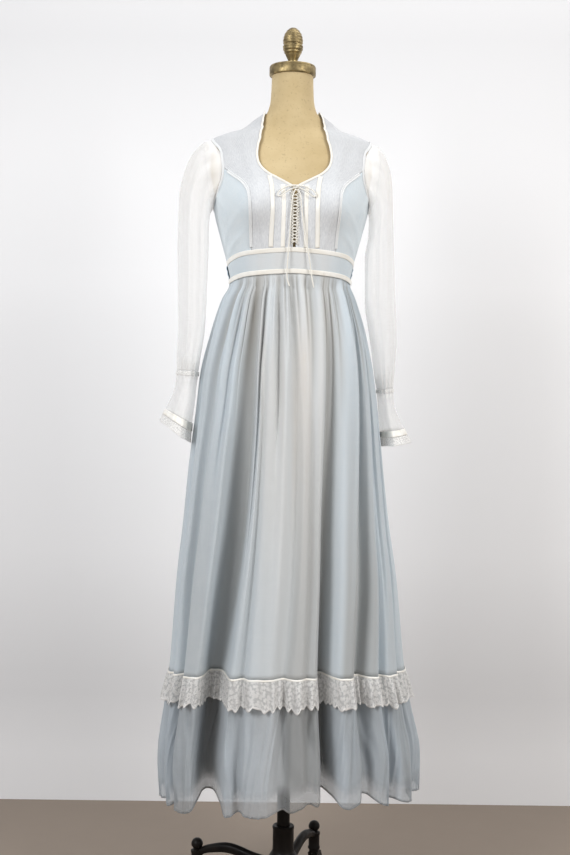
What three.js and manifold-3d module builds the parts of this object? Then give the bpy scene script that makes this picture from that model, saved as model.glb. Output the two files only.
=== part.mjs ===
// A prairie maxi dress on a limbless dress form with a four-legged castor stand.
// Millimetres, +Z up. The origin is on the floor, on the pole's axis. The front faces -Y, and the wearer's
// left is +X. Cloth pieces are thin walls cut as a maker cuts them. Bodice pieces follow the form's skin, at
// an angle counted in degrees from the front towards +X and a height z. Skirt tiers follow a flared section
// with folds.
import * as THREE from "three";
import Module from "manifold-3d";

// ---------------------------------------------------------------- driving dimensions
const cloth = 1.2; // thickness of every cloth wall
const ease = 1.8; // room between the form's skin line and the bodice
const formInset = { body: 2.4, shoulder: 10 }; // how far the form's facets stay inside its skin line
const seamGap = 0.3; // between two pieces at a seam
const trimThick = 1.0;
const trimLift = ease + cloth + 1.2; // underside of what lies on the bodice
const lacedGap = { top: 5.2, bottom: 2.6 }; // half of the opening at the centre front
const mmPerDegree = 2.4; // scale that lets angles and heights share one flat pattern

const neckTop = 1738;
const formBottom = 905;
const formSides = 24;
const laceLine = 512; // seam between the skirt and the flounce
const hemLine = 250;

// The form, ring by ring: half width, depth to the front and to the back, and how square the ring is.
const formRings = [
  { z: 905, half: 138, front: 76, back: 86, square: 2.2 },
  { z: 980, half: 152, front: 90, back: 102, square: 2.2 },
  { z: 1100, half: 160, front: 100, back: 112, square: 2.2 },
  { z: 1190, half: 146, front: 97, back: 104, square: 2.2 },
  { z: 1250, half: 129, front: 90, back: 90, square: 2.2 },
  { z: 1300, half: 121, front: 86, back: 81, square: 2.2 },
  { z: 1344, half: 129, front: 89, back: 82, square: 2.25 },
  { z: 1396, half: 143, front: 95, back: 88, square: 2.3 },
  { z: 1450, half: 157, front: 99, back: 95, square: 2.35 },
  { z: 1500, half: 165, front: 93, back: 98, square: 2.3 },
  { z: 1545, half: 172, front: 81, back: 95, square: 2.15 },
  { z: 1580, half: 172, front: 67, back: 88, square: 1.95 },
  { z: 1599, half: 164, front: 60, back: 82, square: 1.8 },
  { z: 1611, half: 140, front: 56, back: 77, square: 1.75 },
  { z: 1622, half: 104, front: 53, back: 70, square: 1.75 },
  { z: 1640, half: 80, front: 51, back: 61, square: 1.85 },
  { z: 1662, half: 54, front: 48.5, back: 52, square: 2 },
  { z: 1690, half: 47.5, front: 46.5, back: 47, square: 2 },
  { z: neckTop, half: 45.5, front: 45.5, back: 45.5, square: 2 },
];
const cup = { x: 80, z: 1452, depth: 24, wide: 38, above: 58, below: 40 };

// Half of the neckline, from the centre front notch to the side of the neck, as x and z seen from the front.
const necklineHalf = [
  { x: 6, z: 1494 },
  { x: 17, z: 1500 },
  { x: 36, z: 1509.5 },
  { x: 56, z: 1520.5 },
  { x: 70.5, z: 1537 },
  { x: 75.5, z: 1559 },
  { x: 71.5, z: 1588 },
  { x: 66, z: 1614 },
  { x: 61.5, z: 1638 },
];
const neckSide = { angle: 90, z: 1662 };
const neckBack = { angle: 180, z: 1647 };
const neckCurve = { angle: 128, z: 1654 }; // between the two
const shoulderEnd = { angle: 90, z: 1599 };
const shoulderMiddle = { angle: 90, z: 1630 };
const armpit = { angle: 90, z: 1457 };
// Seam between the white centre panel and the blue side panel, from the midriff up to the armhole.
const princessHalf = [
  { x: 84, z: 1363 },
  { x: 88, z: 1440 },
  { x: 90.5, z: 1471 },
  { x: 95, z: 1488 },
  { x: 106, z: 1504 },
  { x: 125, z: 1520 },
  { x: 144, z: 1536 },
];
const armholeFront = [
  { angle: 61, z: 1572 },
  { angle: 74, z: 1590 },
];
const armholeUnder = [
  { angle: 59, z: 1512 },
  { angle: 71, z: 1484 },
];
const armholeBack = [
  { angle: 107, z: 1480 },
  { angle: 118, z: 1518 },
  { angle: 119, z: 1556 },
  { angle: 109, z: 1586 },
];
// The two seams of the midriff band rise towards the centre front.
const bandTop = { front: 1367, side: 1344, back: 1342 };
const bandBottom = { front: 1324, side: 1306, back: 1304 };

// Skirt and flounce: reach to the wearer's right, left, front and back at each height.
const skirtRings = [
  { z: 1330, right: 126, left: 126, front: 90, back: 86 },
  { z: 1300, right: 127, left: 126, front: 91, back: 87 },
  { z: 1270, right: 142, left: 136, front: 103, back: 101 },
  { z: 1190, right: 167, left: 161, front: 127, back: 130 },
  { z: 1120, right: 184, left: 175, front: 139, back: 144 },
  { z: 1040, right: 193, left: 186, front: 147, back: 153 },
  { z: 920, right: 207, left: 199, front: 156, back: 161 },
  { z: 817, right: 216, left: 211, front: 163, back: 168 },
  { z: 690, right: 229, left: 230, front: 171, back: 176 },
  { z: 512, right: 241, left: 248, front: 181, back: 186 },
  { z: 430, right: 250, left: 261, front: 188, back: 193 },
  { z: 330, right: 262, left: 280, front: 196, back: 200 },
  { z: 240, right: 257, left: 280, front: 199, back: 203 },
];
const skirtSquare = 2.15;
const foldLean = 0.45; // share of the sideways part of the direction that folds are pressed in
// Hanging folds: angle at the hem, half way up and at the waist, then depth and half width, in degrees, at
// the hem.
const foldsFront = [
  { hem: -77, middle: -77, waist: -78, depth: 12, wide: 4 },
  { hem: -64, middle: -58, waist: -52, depth: 26, wide: 4 },
  { hem: -36, middle: -25, waist: -30, depth: 92, wide: 7 },
  { hem: -22, middle: -17, waist: -20, depth: 16, wide: 3.5 },
  { hem: -3, middle: 1.5, waist: -3, depth: 18, wide: 4 },
  { hem: 6, middle: 10, waist: 14, depth: 12, wide: 3 },
  { hem: 13.5, middle: 20, waist: 31, depth: 74, wide: 4.5 },
  { hem: 32, middle: 47, waist: 59, depth: 40, wide: 5 },
  { hem: 47, middle: 59, waist: 68, depth: 24, wide: 3.5 },
  { hem: 66, middle: 71, waist: 77, depth: 16, wide: 4.5 },
];
const foldsBack = [
  { hem: 103, middle: 102, waist: 101, depth: 24, wide: 4.5 },
  { hem: 119, middle: 118, waist: 116, depth: 52, wide: 5.5 },
  { hem: 135, middle: 134, waist: 133, depth: 26, wide: 4.5 },
  { hem: 150, middle: 150, waist: 149, depth: 70, wide: 6 },
  { hem: 167, middle: 167, waist: 167, depth: 30, wide: 4.5 },
  { hem: 184, middle: 184, waist: 184, depth: 64, wide: 5.5 },
  { hem: 201, middle: 202, waist: 203, depth: 24, wide: 4.5 },
  { hem: 217, middle: 218, waist: 220, depth: 66, wide: 6 },
  { hem: 234, middle: 236, waist: 238, depth: 28, wide: 4.5 },
  { hem: 251, middle: 252, waist: 254, depth: 44, wide: 5.5 },
];
// How deep the folds and the waist gathers are on the way down, as shares of the skirt's length.
const foldGrowth = [
  { down: 0, folds: 0.02, gathers: 0.6 },
  { down: 0.05, folds: 0.07, gathers: 4 },
  { down: 0.16, folds: 0.22, gathers: 4.6 },
  { down: 0.3, folds: 0.36, gathers: 3.2 },
  { down: 0.48, folds: 0.58, gathers: 1.6 },
  { down: 0.7, folds: 0.8, gathers: 0.4 },
  { down: 1, folds: 1, gathers: 0 },
];
const gathersPerHalf = 18;
const pointsPerGather = 3;
const skirtLevels = [0, 0.05, 0.16, 0.36, 0.66, 1];
// How far the lace seam and the hem lie above laceLine and hemLine, round the skirt.
const edgeLift = [
  { angle: -90, lace: -14, hem: -6 },
  { angle: -55, lace: -4, hem: -8 },
  { angle: -20, lace: 4, hem: 1 },
  { angle: 5, lace: 6, hem: 18 },
  { angle: 35, lace: 2, hem: 16 },
  { angle: 62, lace: -4, hem: 5 },
  { angle: 90, lace: -6, hem: 6 },
  { angle: 150, lace: 2, hem: -2 },
  { angle: 220, lace: -2, hem: 4 },
  { angle: 270, lace: -14, hem: -6 },
];

// Sleeves: each ring's outer and inner point seen from the front, and its half depth from front to back.
const sleeveRight = [
  { outX: 182, outZ: 1592, inX: 168, inZ: 1449, deep: 57 },
  { outX: 205, outZ: 1568, inX: 169, inZ: 1437, deep: 61 },
  { outX: 223, outZ: 1526, inX: 169.5, inZ: 1420, deep: 63 },
  { outX: 232, outZ: 1474, inX: 170, inZ: 1395, deep: 64 },
  { outX: 233, outZ: 1400, inX: 170, inZ: 1360, deep: 64 },
  { outX: 232, outZ: 1300, inX: 172, inZ: 1290, deep: 61 },
  { outX: 230, outZ: 1210, inX: 176, inZ: 1206, deep: 56 },
  { outX: 233, outZ: 1150, inX: 185, inZ: 1146, deep: 50 },
  { outX: 232, outZ: 1122, inX: 190, inZ: 1119, deep: 40 },
];
const sleeveLeft = [
  { outX: 182, outZ: 1591, inX: 167, inZ: 1449, deep: 56 },
  { outX: 198, outZ: 1568, inX: 167.5, inZ: 1437, deep: 60 },
  { outX: 209, outZ: 1530, inX: 167.5, inZ: 1420, deep: 62 },
  { outX: 213, outZ: 1474, inX: 165, inZ: 1395, deep: 63 },
  { outX: 216, outZ: 1385, inX: 160, inZ: 1360, deep: 63 },
  { outX: 221, outZ: 1280, inX: 160, inZ: 1275, deep: 60 },
  { outX: 225, outZ: 1195, inX: 171, inZ: 1190, deep: 54 },
  { outX: 221, outZ: 1127, inX: 180, inZ: 1124, deep: 46 },
  { outX: 218, outZ: 1090, inX: 187, inZ: 1087, deep: 35 },
];
const cuffRight = [
  { outX: 232, outZ: 1121.4, inX: 190, inZ: 1118.4, deep: 40 },
  { outX: 238, outZ: 1079, inX: 194, inZ: 1072, deep: 46 },
  { outX: 260, outZ: 1022, inX: 206, inZ: 983, deep: 60 },
];
const cuffLeft = [
  { outX: 218, outZ: 1089.4, inX: 187, inZ: 1086.4, deep: 35 },
  { outX: 222, outZ: 1050, inX: 190, inZ: 1046, deep: 42 },
  { outX: 249, outZ: 984, inX: 198, inZ: 976, deep: 55 },
];
const sleevePoints = 18;

const pole = { radius: 13.3, bottom: 72 };
const housing = { radius: 22, bore: 14, bottom: 46, top: 173 };
const leg = { reach: 197, turn: 65 }; // turn: degrees from +X to the first leg
const knob = { radius: 12.5, z: 106 };
const boss = { radius: 13.5, bottom: 56, top: 97, bore: 5.4, boreTop: 90 };
const castor = { wheel: 23, tread: 15, trail: 17, axle: 3.5, stem: 4.8, cheek: 3.5, crown: 51 };
const wheelSides = 16;
const wheelCentre = castor.wheel * Math.cos(Math.PI / wheelSides); // a flat of the wheel rests on the floor

// ---------------------------------------------------------------- small helpers
const rad = (degrees) => (degrees * Math.PI) / 180;
const mix = (a, b, t) => a + (b - a) * t;
const signedPower = (value, power) => Math.sign(value) * Math.abs(value) ** power;
const bell = (distance, wide) => Math.exp(-((distance / wide) ** 2));
const v3 = (x, y, z) => new THREE.Vector3(x, y, z);

// One column of a table as a smooth function of another, z unless named, that never overshoots its rows.
function column(table, name, by = "z") {
  const rows = table.toSorted((a, b) => a[by] - b[by]);
  const at = rows.map((row) => row[by]);
  const value = rows.map((row) => row[name]);
  const slope = at.slice(1).map((z, i) => (value[i + 1] - value[i]) / (z - at[i]));
  const tangent = at.map((_, i) => {
    if (i === 0 || i === at.length - 1) return slope[Math.min(i, slope.length - 1)];
    const [before, after] = [slope[i - 1], slope[i]];
    return before * after <= 0 ? 0 : (2 * before * after) / (before + after);
  });
  return (z) => {
    if (z <= at[0]) return value[0];
    if (z >= at.at(-1)) return value.at(-1);
    const i = at.findIndex((edge) => edge > z) - 1;
    const span = at[i + 1] - at[i];
    const t = (z - at[i]) / span;
    const rest = 1 - t;
    return (
      (1 + 2 * t) * rest * rest * value[i] +
      t * rest * rest * span * tangent[i] +
      t * t * (3 - 2 * t) * value[i + 1] -
      t * t * rest * span * tangent[i + 1]
    );
  };
}

function geometryOf(points, triangles) {
  let volume = 0;
  for (const [a, b, c] of triangles) {
    volume += points[a].dot(points[b].clone().cross(points[c])) / 6;
  }
  const faces = volume < 0 ? triangles.map(([a, b, c]) => [a, c, b]) : triangles;
  const geometry = new THREE.BufferGeometry();
  geometry.setAttribute("position", new THREE.Float32BufferAttribute(points.flatMap((p) => p.toArray()), 3));
  geometry.setIndex(faces.flat());
  return geometry;
}

// A closed wall between two grids of points, rows by columns. round: the columns close into a ring.
function wall(outer, inner, round = false) {
  const rows = outer.length;
  const columns = outer[0].length;
  const points = [...outer.flat(), ...inner.flat()];
  const index = (layer, row, col) => layer * rows * columns + row * columns + (col % columns);
  const triangles = [];
  const quad = (a, b, c, d) => triangles.push([a, b, c], [a, c, d]);
  const spans = round ? columns : columns - 1;
  for (let row = 0; row < rows - 1; row++) {
    for (let col = 0; col < spans; col++) {
      quad(index(0, row, col), index(0, row, col + 1), index(0, row + 1, col + 1), index(0, row + 1, col));
      quad(index(1, row, col), index(1, row + 1, col), index(1, row + 1, col + 1), index(1, row, col + 1));
    }
  }
  for (let col = 0; col < spans; col++) {
    quad(index(0, 0, col), index(1, 0, col), index(1, 0, col + 1), index(0, 0, col + 1));
    const last = rows - 1;
    quad(index(0, last, col), index(0, last, col + 1), index(1, last, col + 1), index(1, last, col));
  }
  if (!round) {
    for (let row = 0; row < rows - 1; row++) {
      quad(index(0, row, 0), index(0, row + 1, 0), index(1, row + 1, 0), index(1, row, 0));
      const end = columns - 1;
      quad(index(0, row, end), index(1, row, end), index(1, row + 1, end), index(0, row + 1, end));
    }
  }
  return geometryOf(points, triangles);
}

// A grid's copy moved inwards by the cloth's thickness, along the grid's own normals.
function inside(grid, thickness, round = false) {
  const rows = grid.length;
  const columns = grid[0].length;
  return grid.map((line, row) =>
    line.map((point, col) => {
      const before = round ? (col + columns - 1) % columns : Math.max(col - 1, 0);
      const after = round ? (col + 1) % columns : Math.min(col + 1, columns - 1);
      const along = line[after].clone().sub(line[before]);
      const down = grid[Math.min(row + 1, rows - 1)][col].clone().sub(grid[Math.max(row - 1, 0)][col]);
      return point.clone().addScaledVector(along.cross(down).normalize(), thickness);
    }),
  );
}

// A solid stacked from closed rings, with flat ends.
function stacked(rings) {
  const columns = rings[0].length;
  const points = rings.flat();
  const triangles = [];
  for (let row = 0; row < rings.length - 1; row++) {
    for (let col = 0; col < columns; col++) {
      const next = (col + 1) % columns;
      const [a, b] = [row * columns + col, row * columns + next];
      triangles.push([a, b, b + columns], [a, b + columns, a + columns]);
    }
  }
  const lastRow = (rings.length - 1) * columns;
  for (let col = 1; col < columns - 1; col++) {
    triangles.push([0, col + 1, col], [lastRow, lastRow + col, lastRow + col + 1]);
  }
  return geometryOf(points, triangles);
}

// ---------------------------------------------------------------- the form's skin
// Several columns of a table, by name.
const columns = (table, names, by) =>
  Object.fromEntries(names.map((name) => [name, column(table, name, by)]));
const form = columns(formRings, ["half", "front", "back", "square"]);

function cupForward(x, z, facing) {
  const tall = z > cup.z ? cup.above : cup.below;
  const round = Math.sqrt(Math.max(facing, 0));
  return cup.depth * bell(Math.abs(x) - cup.x, cup.wide) * bell(z - cup.z, tall) * round;
}

function formPoint(angle, z) {
  const power = 2 / form.square(z);
  const facing = Math.cos(rad(angle));
  const x = form.half(z) * signedPower(Math.sin(rad(angle)), power);
  const depth = facing > 0 ? form.front(z) : form.back(z);
  return v3(x, -depth * signedPower(facing, power) - cupForward(x, z, facing), z);
}

// A point of the form's skin, moved out by lift.
function skin(angle, z, lift = 0) {
  const along = formPoint(angle + 0.6, z).sub(formPoint(angle - 0.6, z));
  const up = formPoint(angle, z + 1.5).sub(formPoint(angle, z - 1.5));
  return formPoint(angle, z).addScaledVector(along.cross(up).normalize(), lift);
}

// The angle at which the front of the form has this x at this height.
function angleOf({ x, z }) {
  const share = Math.min(Math.abs(x) / form.half(z), 1);
  return (Math.sign(x) * Math.asin(share ** (form.square(z) / 2)) * 180) / Math.PI;
}

const onPattern = (point) =>
  new THREE.Vector2((point.angle ?? angleOf(point)) * mmPerDegree, point.z);
const offPattern = (point) => ({ angle: point.x / mmPerDegree, z: point.y });
// A smooth line on the flat pattern through the given points, in equal steps.
const line = (points, steps) => new THREE.SplineCurve(points.map(onPattern)).getSpacedPoints(steps);
// Several such lines end to end, with a corner where they meet.
function joinedLine(parts) {
  return parts.flatMap(([points, steps], i) => line(points, steps).slice(i ? 1 : 0));
}

// Fills a four-sided piece of the pattern between its edges.
function patch({ bottom, top, left, right }) {
  const [columns, rows] = [bottom.length - 1, left.length - 1];
  return left.map((_, row) =>
    bottom.map((_, col) => {
      const [u, v] = [col / columns, row / rows];
      const blend = (axis) =>
        mix(bottom[col][axis], top[col][axis], v) +
        mix(left[row][axis], right[row][axis], u) -
        mix(mix(bottom[0][axis], bottom[columns][axis], u), mix(top[0][axis], top[columns][axis], u), v);
      return offPattern({ x: blend("x"), y: blend("y") });
    }),
  );
}

// side: 1 for the wearer's left, -1 for the right.
function panel(pattern, side) {
  const at = (lift) => pattern.map((row) => row.map(({ angle, z }) => skin(side * angle, z, lift)));
  return wall(at(ease + cloth), at(ease));
}

// A flat strip of trim along a line of the pattern, moved sideways by shift.
function strip(path, wide, { lift = trimLift, thick = trimThick, shift = 0, side = 1, closed = false } = {}) {
  const points = path.map(({ angle, z }) => ({ angle: side * angle, z }));
  const last = points.length - 1;
  const section = points.map(({ angle, z }, i) => {
    const before = points[closed ? (i + last) % points.length : Math.max(i - 1, 0)];
    const after = points[closed ? (i + 1) % points.length : Math.min(i + 1, last)];
    const along = skin(after.angle, after.z).sub(skin(before.angle, before.z)).normalize();
    const out = skin(angle, z, 1).sub(skin(angle, z));
    const across = out.clone().cross(along).normalize();
    const corner = (sideways, height) =>
      skin(angle, z, lift + height).addScaledVector(across, sideways + shift * side);
    return [corner(-wide / 2, 0), corner(wide / 2, 0), corner(wide / 2, thick), corner(-wide / 2, thick)];
  });
  if (!closed) return stacked(section);
  const columns = section.length;
  const triangles = [];
  section.forEach((_, row) => {
    const next = ((row + 1) % columns) * 4;
    for (let k = 0; k < 4; k++) {
      const m = (k + 1) % 4;
      triangles.push([row * 4 + k, row * 4 + m, next + m], [row * 4 + k, next + m, next + k]);
    }
  });
  return geometryOf(section.flat(), triangles);
}

// ---------------------------------------------------------------- bodice
const fromFront = (angle) => Math.abs(((((angle + 180) % 360) + 360) % 360) - 180);
const bandHeight = (edge) => column(
  [
    { angle: 0, edge: edge.front },
    { angle: 45, edge: mix(edge.front, edge.side, 0.32) },
    { angle: 90, edge: edge.side },
    { angle: 180, edge: edge.back },
  ],
  "edge",
  "angle",
);
const topSeam = bandHeight(bandTop);
const bottomSeam = bandHeight(bandBottom);
const seamLine = (seam, from, to, steps, shift) =>
  Array.from({ length: steps + 1 }, (_, i) => {
    const angle = mix(from, to, i / steps);
    return new THREE.Vector2(angle * mmPerDegree, seam(fromFront(angle)) + shift);
  });

const armholeMiddle = princessHalf.at(-1);
const seamNudge = (points, degrees) =>
  points.map((p) => new THREE.Vector2(p.x + degrees * mmPerDegree, p.y));

// The white panel: centre front and yoke in one, from the lacing to the princess seam and the shoulder.
function centrePanelPattern() {
  const opening = [
    { x: lacedGap.bottom, z: topSeam(0) + seamGap },
    { x: lacedGap.top, z: necklineHalf[0].z - 4 },
  ];
  const princess = princessHalf.map((p, i) => (i ? p : { x: p.x, z: topSeam(angleOf(p)) + seamGap }));
  const bottomAngle = angleOf(princess[0]);
  return patch({
    left: joinedLine([[opening, 6], [[opening[1], ...necklineHalf, neckSide], 7]]),
    right: seamNudge(joinedLine([[princess, 9], [[armholeMiddle, ...armholeFront, shoulderEnd], 4]]), -0.08),
    bottom: seamLine(topSeam, angleOf(opening[0]), bottomAngle, 6, seamGap),
    top: seamNudge(line([neckSide, shoulderMiddle, shoulderEnd], 6), -0.35),
  });
}

// The blue panel beside it, under the arm.
function sidePanelPattern() {
  const princess = princessHalf.map((p, i) => (i ? p : { x: p.x, z: topSeam(angleOf(p)) + seamGap }));
  return patch({
    left: seamNudge(line(princess, 9), 0.3),
    right: seamNudge(line([{ angle: 90, z: topSeam(90) + seamGap }, armpit], 9), -0.1),
    bottom: seamLine(topSeam, angleOf(princess[0]) + 0.3, 89.9, 4, seamGap),
    top: line([{ x: armholeMiddle.x + 1, z: armholeMiddle.z }, ...armholeUnder, armpit], 4),
  });
}

// Half of the back; the two halves meet at the centre, where the concealed closure is.
function backPanelPattern() {
  const low = { angle: 179.9, z: topSeam(180) + seamGap };
  const high = { angle: 179.8, z: neckBack.z };
  const sideLow = { angle: 90, z: topSeam(90) + seamGap };
  return patch({
    left: joinedLine([[[sideLow, armpit], 4], [[armpit, ...armholeBack, shoulderEnd], 7]]),
    right: line([low, high], 11),
    bottom: seamLine(topSeam, 90, low.angle, 7, seamGap),
    top: joinedLine([
      [[shoulderEnd, shoulderMiddle, neckSide], 4],
      [[neckSide, neckCurve, high], 3],
    ]),
  });
}

function bandPattern(from, to, steps) {
  const low = seamLine(bottomSeam, from, to, steps, seamGap);
  const high = seamLine(topSeam, from, to, steps, -seamGap / 2);
  const middle = low.map((p, i) => new THREE.Vector2(p.x, (p.y + high[i].y) / 2));
  return [low, middle, high].map((row) => row.map(offPattern));
}

const patternPath = (points) => points.map(offPattern);
const neckPath = patternPath([
  ...line([...necklineHalf, neckSide], 11),
  ...line([neckSide, neckCurve, { angle: 178.4, z: neckBack.z }], 4).slice(1),
]);
// The princess trim stops short of the band round the armhole.
const princessPath = patternPath(
  line([{ x: princessHalf[0].x, z: 1374.5 }, ...princessHalf.slice(1, -1), { x: 133, z: 1527 }], 9),
);
const armholePath = patternPath(
  joinedLine([
    [[armpit, ...armholeUnder.toReversed(), armholeMiddle], 4],
    [[armholeMiddle, ...armholeFront, shoulderEnd], 4],
    [[shoulderEnd, ...armholeBack.toReversed(), armpit], 8],
  ]).slice(0, -1),
);
const waistRibbonPath = (seam) => patternPath(seamLine(seam, -89, 89, 18, 0));
const ribbonFoot = 1374;
const frontRibbonPath = (low, high, top) =>
  patternPath(
    line(
      [
        { x: low, z: ribbonFoot },
        { x: low, z: 1440 },
        { x: mix(low, high, 0.25), z: top - 24 },
        { x: high, z: top },
      ],
      7,
    ),
  );

const loopTapePath = patternPath(line([{ x: 7.6, z: ribbonFoot + 1 }, { x: 9.6, z: 1486 }], 6));

// ---------------------------------------------------------------- skirt, flounce and lace
const skirt = columns(skirtRings, ["right", "left", "front", "back"]);
const growth = columns(foldGrowth, ["folds", "gathers"], "down");
const lift = columns(edgeLift, ["lace", "hem"], "angle");

// The smooth section that the folds are pressed into, and its outward direction.
function skirtBase(angle, z) {
  const [s, c] = [Math.sin(rad(angle)), Math.cos(rad(angle))];
  const half = s > 0 ? skirt.left(z) : skirt.right(z);
  const depth = c > 0 ? skirt.front(z) : skirt.back(z);
  const power = 2 / skirtSquare;
  const point = v3(half * signedPower(s, power), -depth * signedPower(c, power), z);
  const out = v3(point.x / half ** 2, point.y / depth ** 2, 0).normalize();
  // Deep folds are pressed mostly backwards, or forwards behind, as cloth hangs in front of a wall.
  const press = v3(out.x * foldLean, out.y, 0).normalize();
  return { point, out, press };
}

const foldDepth = (folds, angle) =>
  folds.reduce((sum, f) => sum + f.depth * bell(angle - f.hem, f.wide), 0);
// 1 where the cloth faces outwards, and less on the steep sides of a fold, where small waves die out.
function openness(folds, angle) {
  const slope = (foldDepth(folds, angle + 1) - foldDepth(folds, angle - 1)) / 8;
  return 1 / Math.sqrt(1 + slope * slope);
}
// Small waves also die out next to the side seams.
const calm = (folds, thread) =>
  openness(folds, thread.hem) * Math.min(1, Math.sin(Math.PI * thread.share) * 6);

// Half of the skirt as threads: each thread has its angle at the waist, half way down and at the hem, where
// the threads are equally far apart along the folded cloth.
function threads(folds, from, count) {
  const steps = 720;
  const outline = Array.from({ length: steps + 1 }, (_, i) => {
    const angle = from + (180 * i) / steps;
    const { point, press } = skirtBase(angle, laceLine);
    return { angle, point: point.addScaledVector(press, -foldDepth(folds, angle)) };
  });
  let walked = 0;
  const along = outline.map(({ point }, i) => (walked += i ? point.distanceTo(outline[i - 1].point) : 0));
  const side = (angle) => ({ hem: angle, middle: angle, waist: angle });
  const pairs = [side(from), ...folds, side(from + 180)];
  return Array.from({ length: count + 1 }, (_, i) => {
    const target = (walked * i) / count;
    const k = Math.max(1, along.findIndex((length) => length >= target - 1e-6));
    const part = (target - along[k - 1]) / (along[k] - along[k - 1]);
    const hem = mix(outline[k - 1].angle, outline[k].angle, part);
    const j = Math.max(1, pairs.findIndex((pair) => pair.hem >= hem - 1e-6));
    const [a, b] = [pairs[j - 1], pairs[j]];
    const between = (hem - a.hem) / (b.hem - a.hem);
    const [middle, waist] = ["middle", "waist"].map((place) => mix(a[place], b[place], between));
    return { share: i / count, hem, middle, waist };
  });
}

const skirtClear = 3.6; // least room between the form's skin line and the skirt's outside
// Moves a point out of the form, should a fold reach it.
function offForm(point) {
  if (point.z < formBottom - 12) return point;
  const z = Math.max(point.z, formBottom);
  const depth = point.y < 0 ? form.front(z) : form.back(z);
  const square = form.square(z);
  const sum = Math.abs(point.x / form.half(z)) ** square + Math.abs(point.y / depth) ** square;
  const reach = sum ** (1 / square);
  const least = 1 + skirtClear / Math.hypot(point.x, point.y);
  if (reach < least) {
    point.x *= least / reach;
    point.y *= least / reach;
  }
  return point;
}

// The angle of a thread on its way down: a smooth curve through its waist, middle and hem.
function threadAngle({ waist, middle, hem }, t) {
  const s = t ** 0.87;
  return waist * (1 - s) * (1 - 2 * s) + 4 * middle * s * (1 - s) + hem * s * (2 * s - 1);
}

// Outer point of the skirt on a thread; t runs from 0 at the waist to 1 at the lace.
function skirtPoint(folds, thread, t) {
  const angle = threadAngle(thread, t);
  const z = mix(bottomSeam(fromFront(angle)) - seamGap * 3, laceLine + lift.lace(thread.hem), t);
  const { point, out, press } = skirtBase(angle, z);
  const gathers = growth.gathers(t) * (Math.cos(2 * Math.PI * gathersPerHalf * thread.share) - 0.6);
  point.addScaledVector(press, -growth.folds(t) * foldDepth(folds, thread.hem));
  return offForm(point.addScaledVector(out, calm(folds, thread) * gathers));
}

// Outer point of the flounce; t runs from 0 at the lace to 1 at the hem.
function flouncePoint(folds, thread, t) {
  const seam = laceLine + lift.lace(thread.hem) - seamGap;
  const { point, press } = skirtBase(thread.hem, mix(seam, hemLine + lift.hem(thread.hem), t));
  const wave = Math.cos(2 * Math.PI * gathersPerHalf * thread.share);
  const slow = Math.cos(2 * Math.PI * (gathersPerHalf / 2) * thread.share + 0.7);
  const waves = Math.sin(Math.PI * Math.min(1, t * 1.6)) * 3 * (wave - 0.3) + t * 5 * slow;
  const ripple = calm(folds, thread) * waves;
  return point.addScaledVector(press, ripple - foldDepth(folds, thread.hem) * mix(1, 1.06, t));
}

// A point of the trim at the lace line: drop below the seam, stand off the skirt, wave and scallop.
function lacePoint(folds, thread, { drop, stand, wave = 0, scallop = 0 }) {
  const { point, press } = skirtBase(thread.hem, laceLine + lift.lace(thread.hem) - drop);
  const ripple = Math.cos(2 * Math.PI * gathersPerHalf * thread.share + 1.2);
  const ruffled = calm(folds, thread) * wave * ripple;
  point.addScaledVector(press, stand + ruffled - foldDepth(folds, thread.hem) * 0.98);
  point.z -= scallop * Math.cos(4 * Math.PI * gathersPerHalf * thread.share);
  return point;
}
const laceTrim = (half, edges, thickness) => {
  const row = (edge) => half.threads.map((thread) => lacePoint(half.folds, thread, edge));
  const grid = offSideSeam(edges.map(row));
  return wall(grid, inside(grid, thickness));
};
const laceRibbonEdges = [{ drop: -5, stand: 4.6 }, { drop: 5, stand: 4.6 }];
const laceRuffleEdges = [{ drop: 5.6, stand: 5, wave: 0.6 }, { drop: 55, stand: 8.5, wave: 3, scallop: 2 }];

const halves = { front: { folds: foldsFront, from: -90 }, back: { folds: foldsBack, from: 90 } };
for (const half of Object.values(halves)) {
  half.threads = threads(half.folds, half.from, gathersPerHalf * pointsPerGather);
}
// Keeps a half off the side seams, so that the front and back pieces stay seamGap apart.
function offSideSeam(grid) {
  for (const row of grid) {
    row[0].lerp(row[1], 0.04);
    row.at(-1).lerp(row.at(-2), 0.04);
  }
  return grid;
}
function tier({ folds, threads: lines }, levels, pointAt) {
  const outer = offSideSeam(levels.map((t) => lines.map((thread) => pointAt(folds, thread, t))));
  return wall(outer, inside(outer, cloth));
}

// ---------------------------------------------------------------- sleeves and cuffs
function armholeRing(side) {
  const centre = { angle: 90, z: mix(armpit.z, shoulderEnd.z, 0.5) };
  const loop = new THREE.CatmullRomCurve3(
    armholePath.map(({ angle, z }) => v3(mix(angle, centre.angle, 0.08), 0, mix(z, centre.z, 0.06))),
    true,
  );
  // Starts at the shoulder and runs over the front, as the sleeve's rings do.
  const half = sleevePoints / 2;
  const path = Array.from({ length: sleevePoints }, (_, i) =>
    loop.getPoint(0.5 - i / sleevePoints + (i > half ? 1 : 0)),
  );
  return path.map((p) => skin(side * p.x, p.z, ease + cloth));
}

function tubeRing(row, side, ripple = () => 0) {
  const outer = v3(side * row.outX, 0, row.outZ);
  const inner = v3(side * row.inX, 0, row.inZ);
  const centre = outer.clone().add(inner).multiplyScalar(0.5);
  const reach = outer.clone().sub(inner).multiplyScalar(0.5);
  return Array.from({ length: sleevePoints }, (_, i) => {
    const turn = (2 * Math.PI * i) / sleevePoints;
    const size = 1 + ripple(i, turn) / row.deep;
    return centre
      .clone()
      .addScaledVector(reach, size * signedPower(Math.cos(turn), 0.9))
      .add(v3(0, -size * row.deep * signedPower(Math.sin(turn), 0.9), 0));
  });
}

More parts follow.
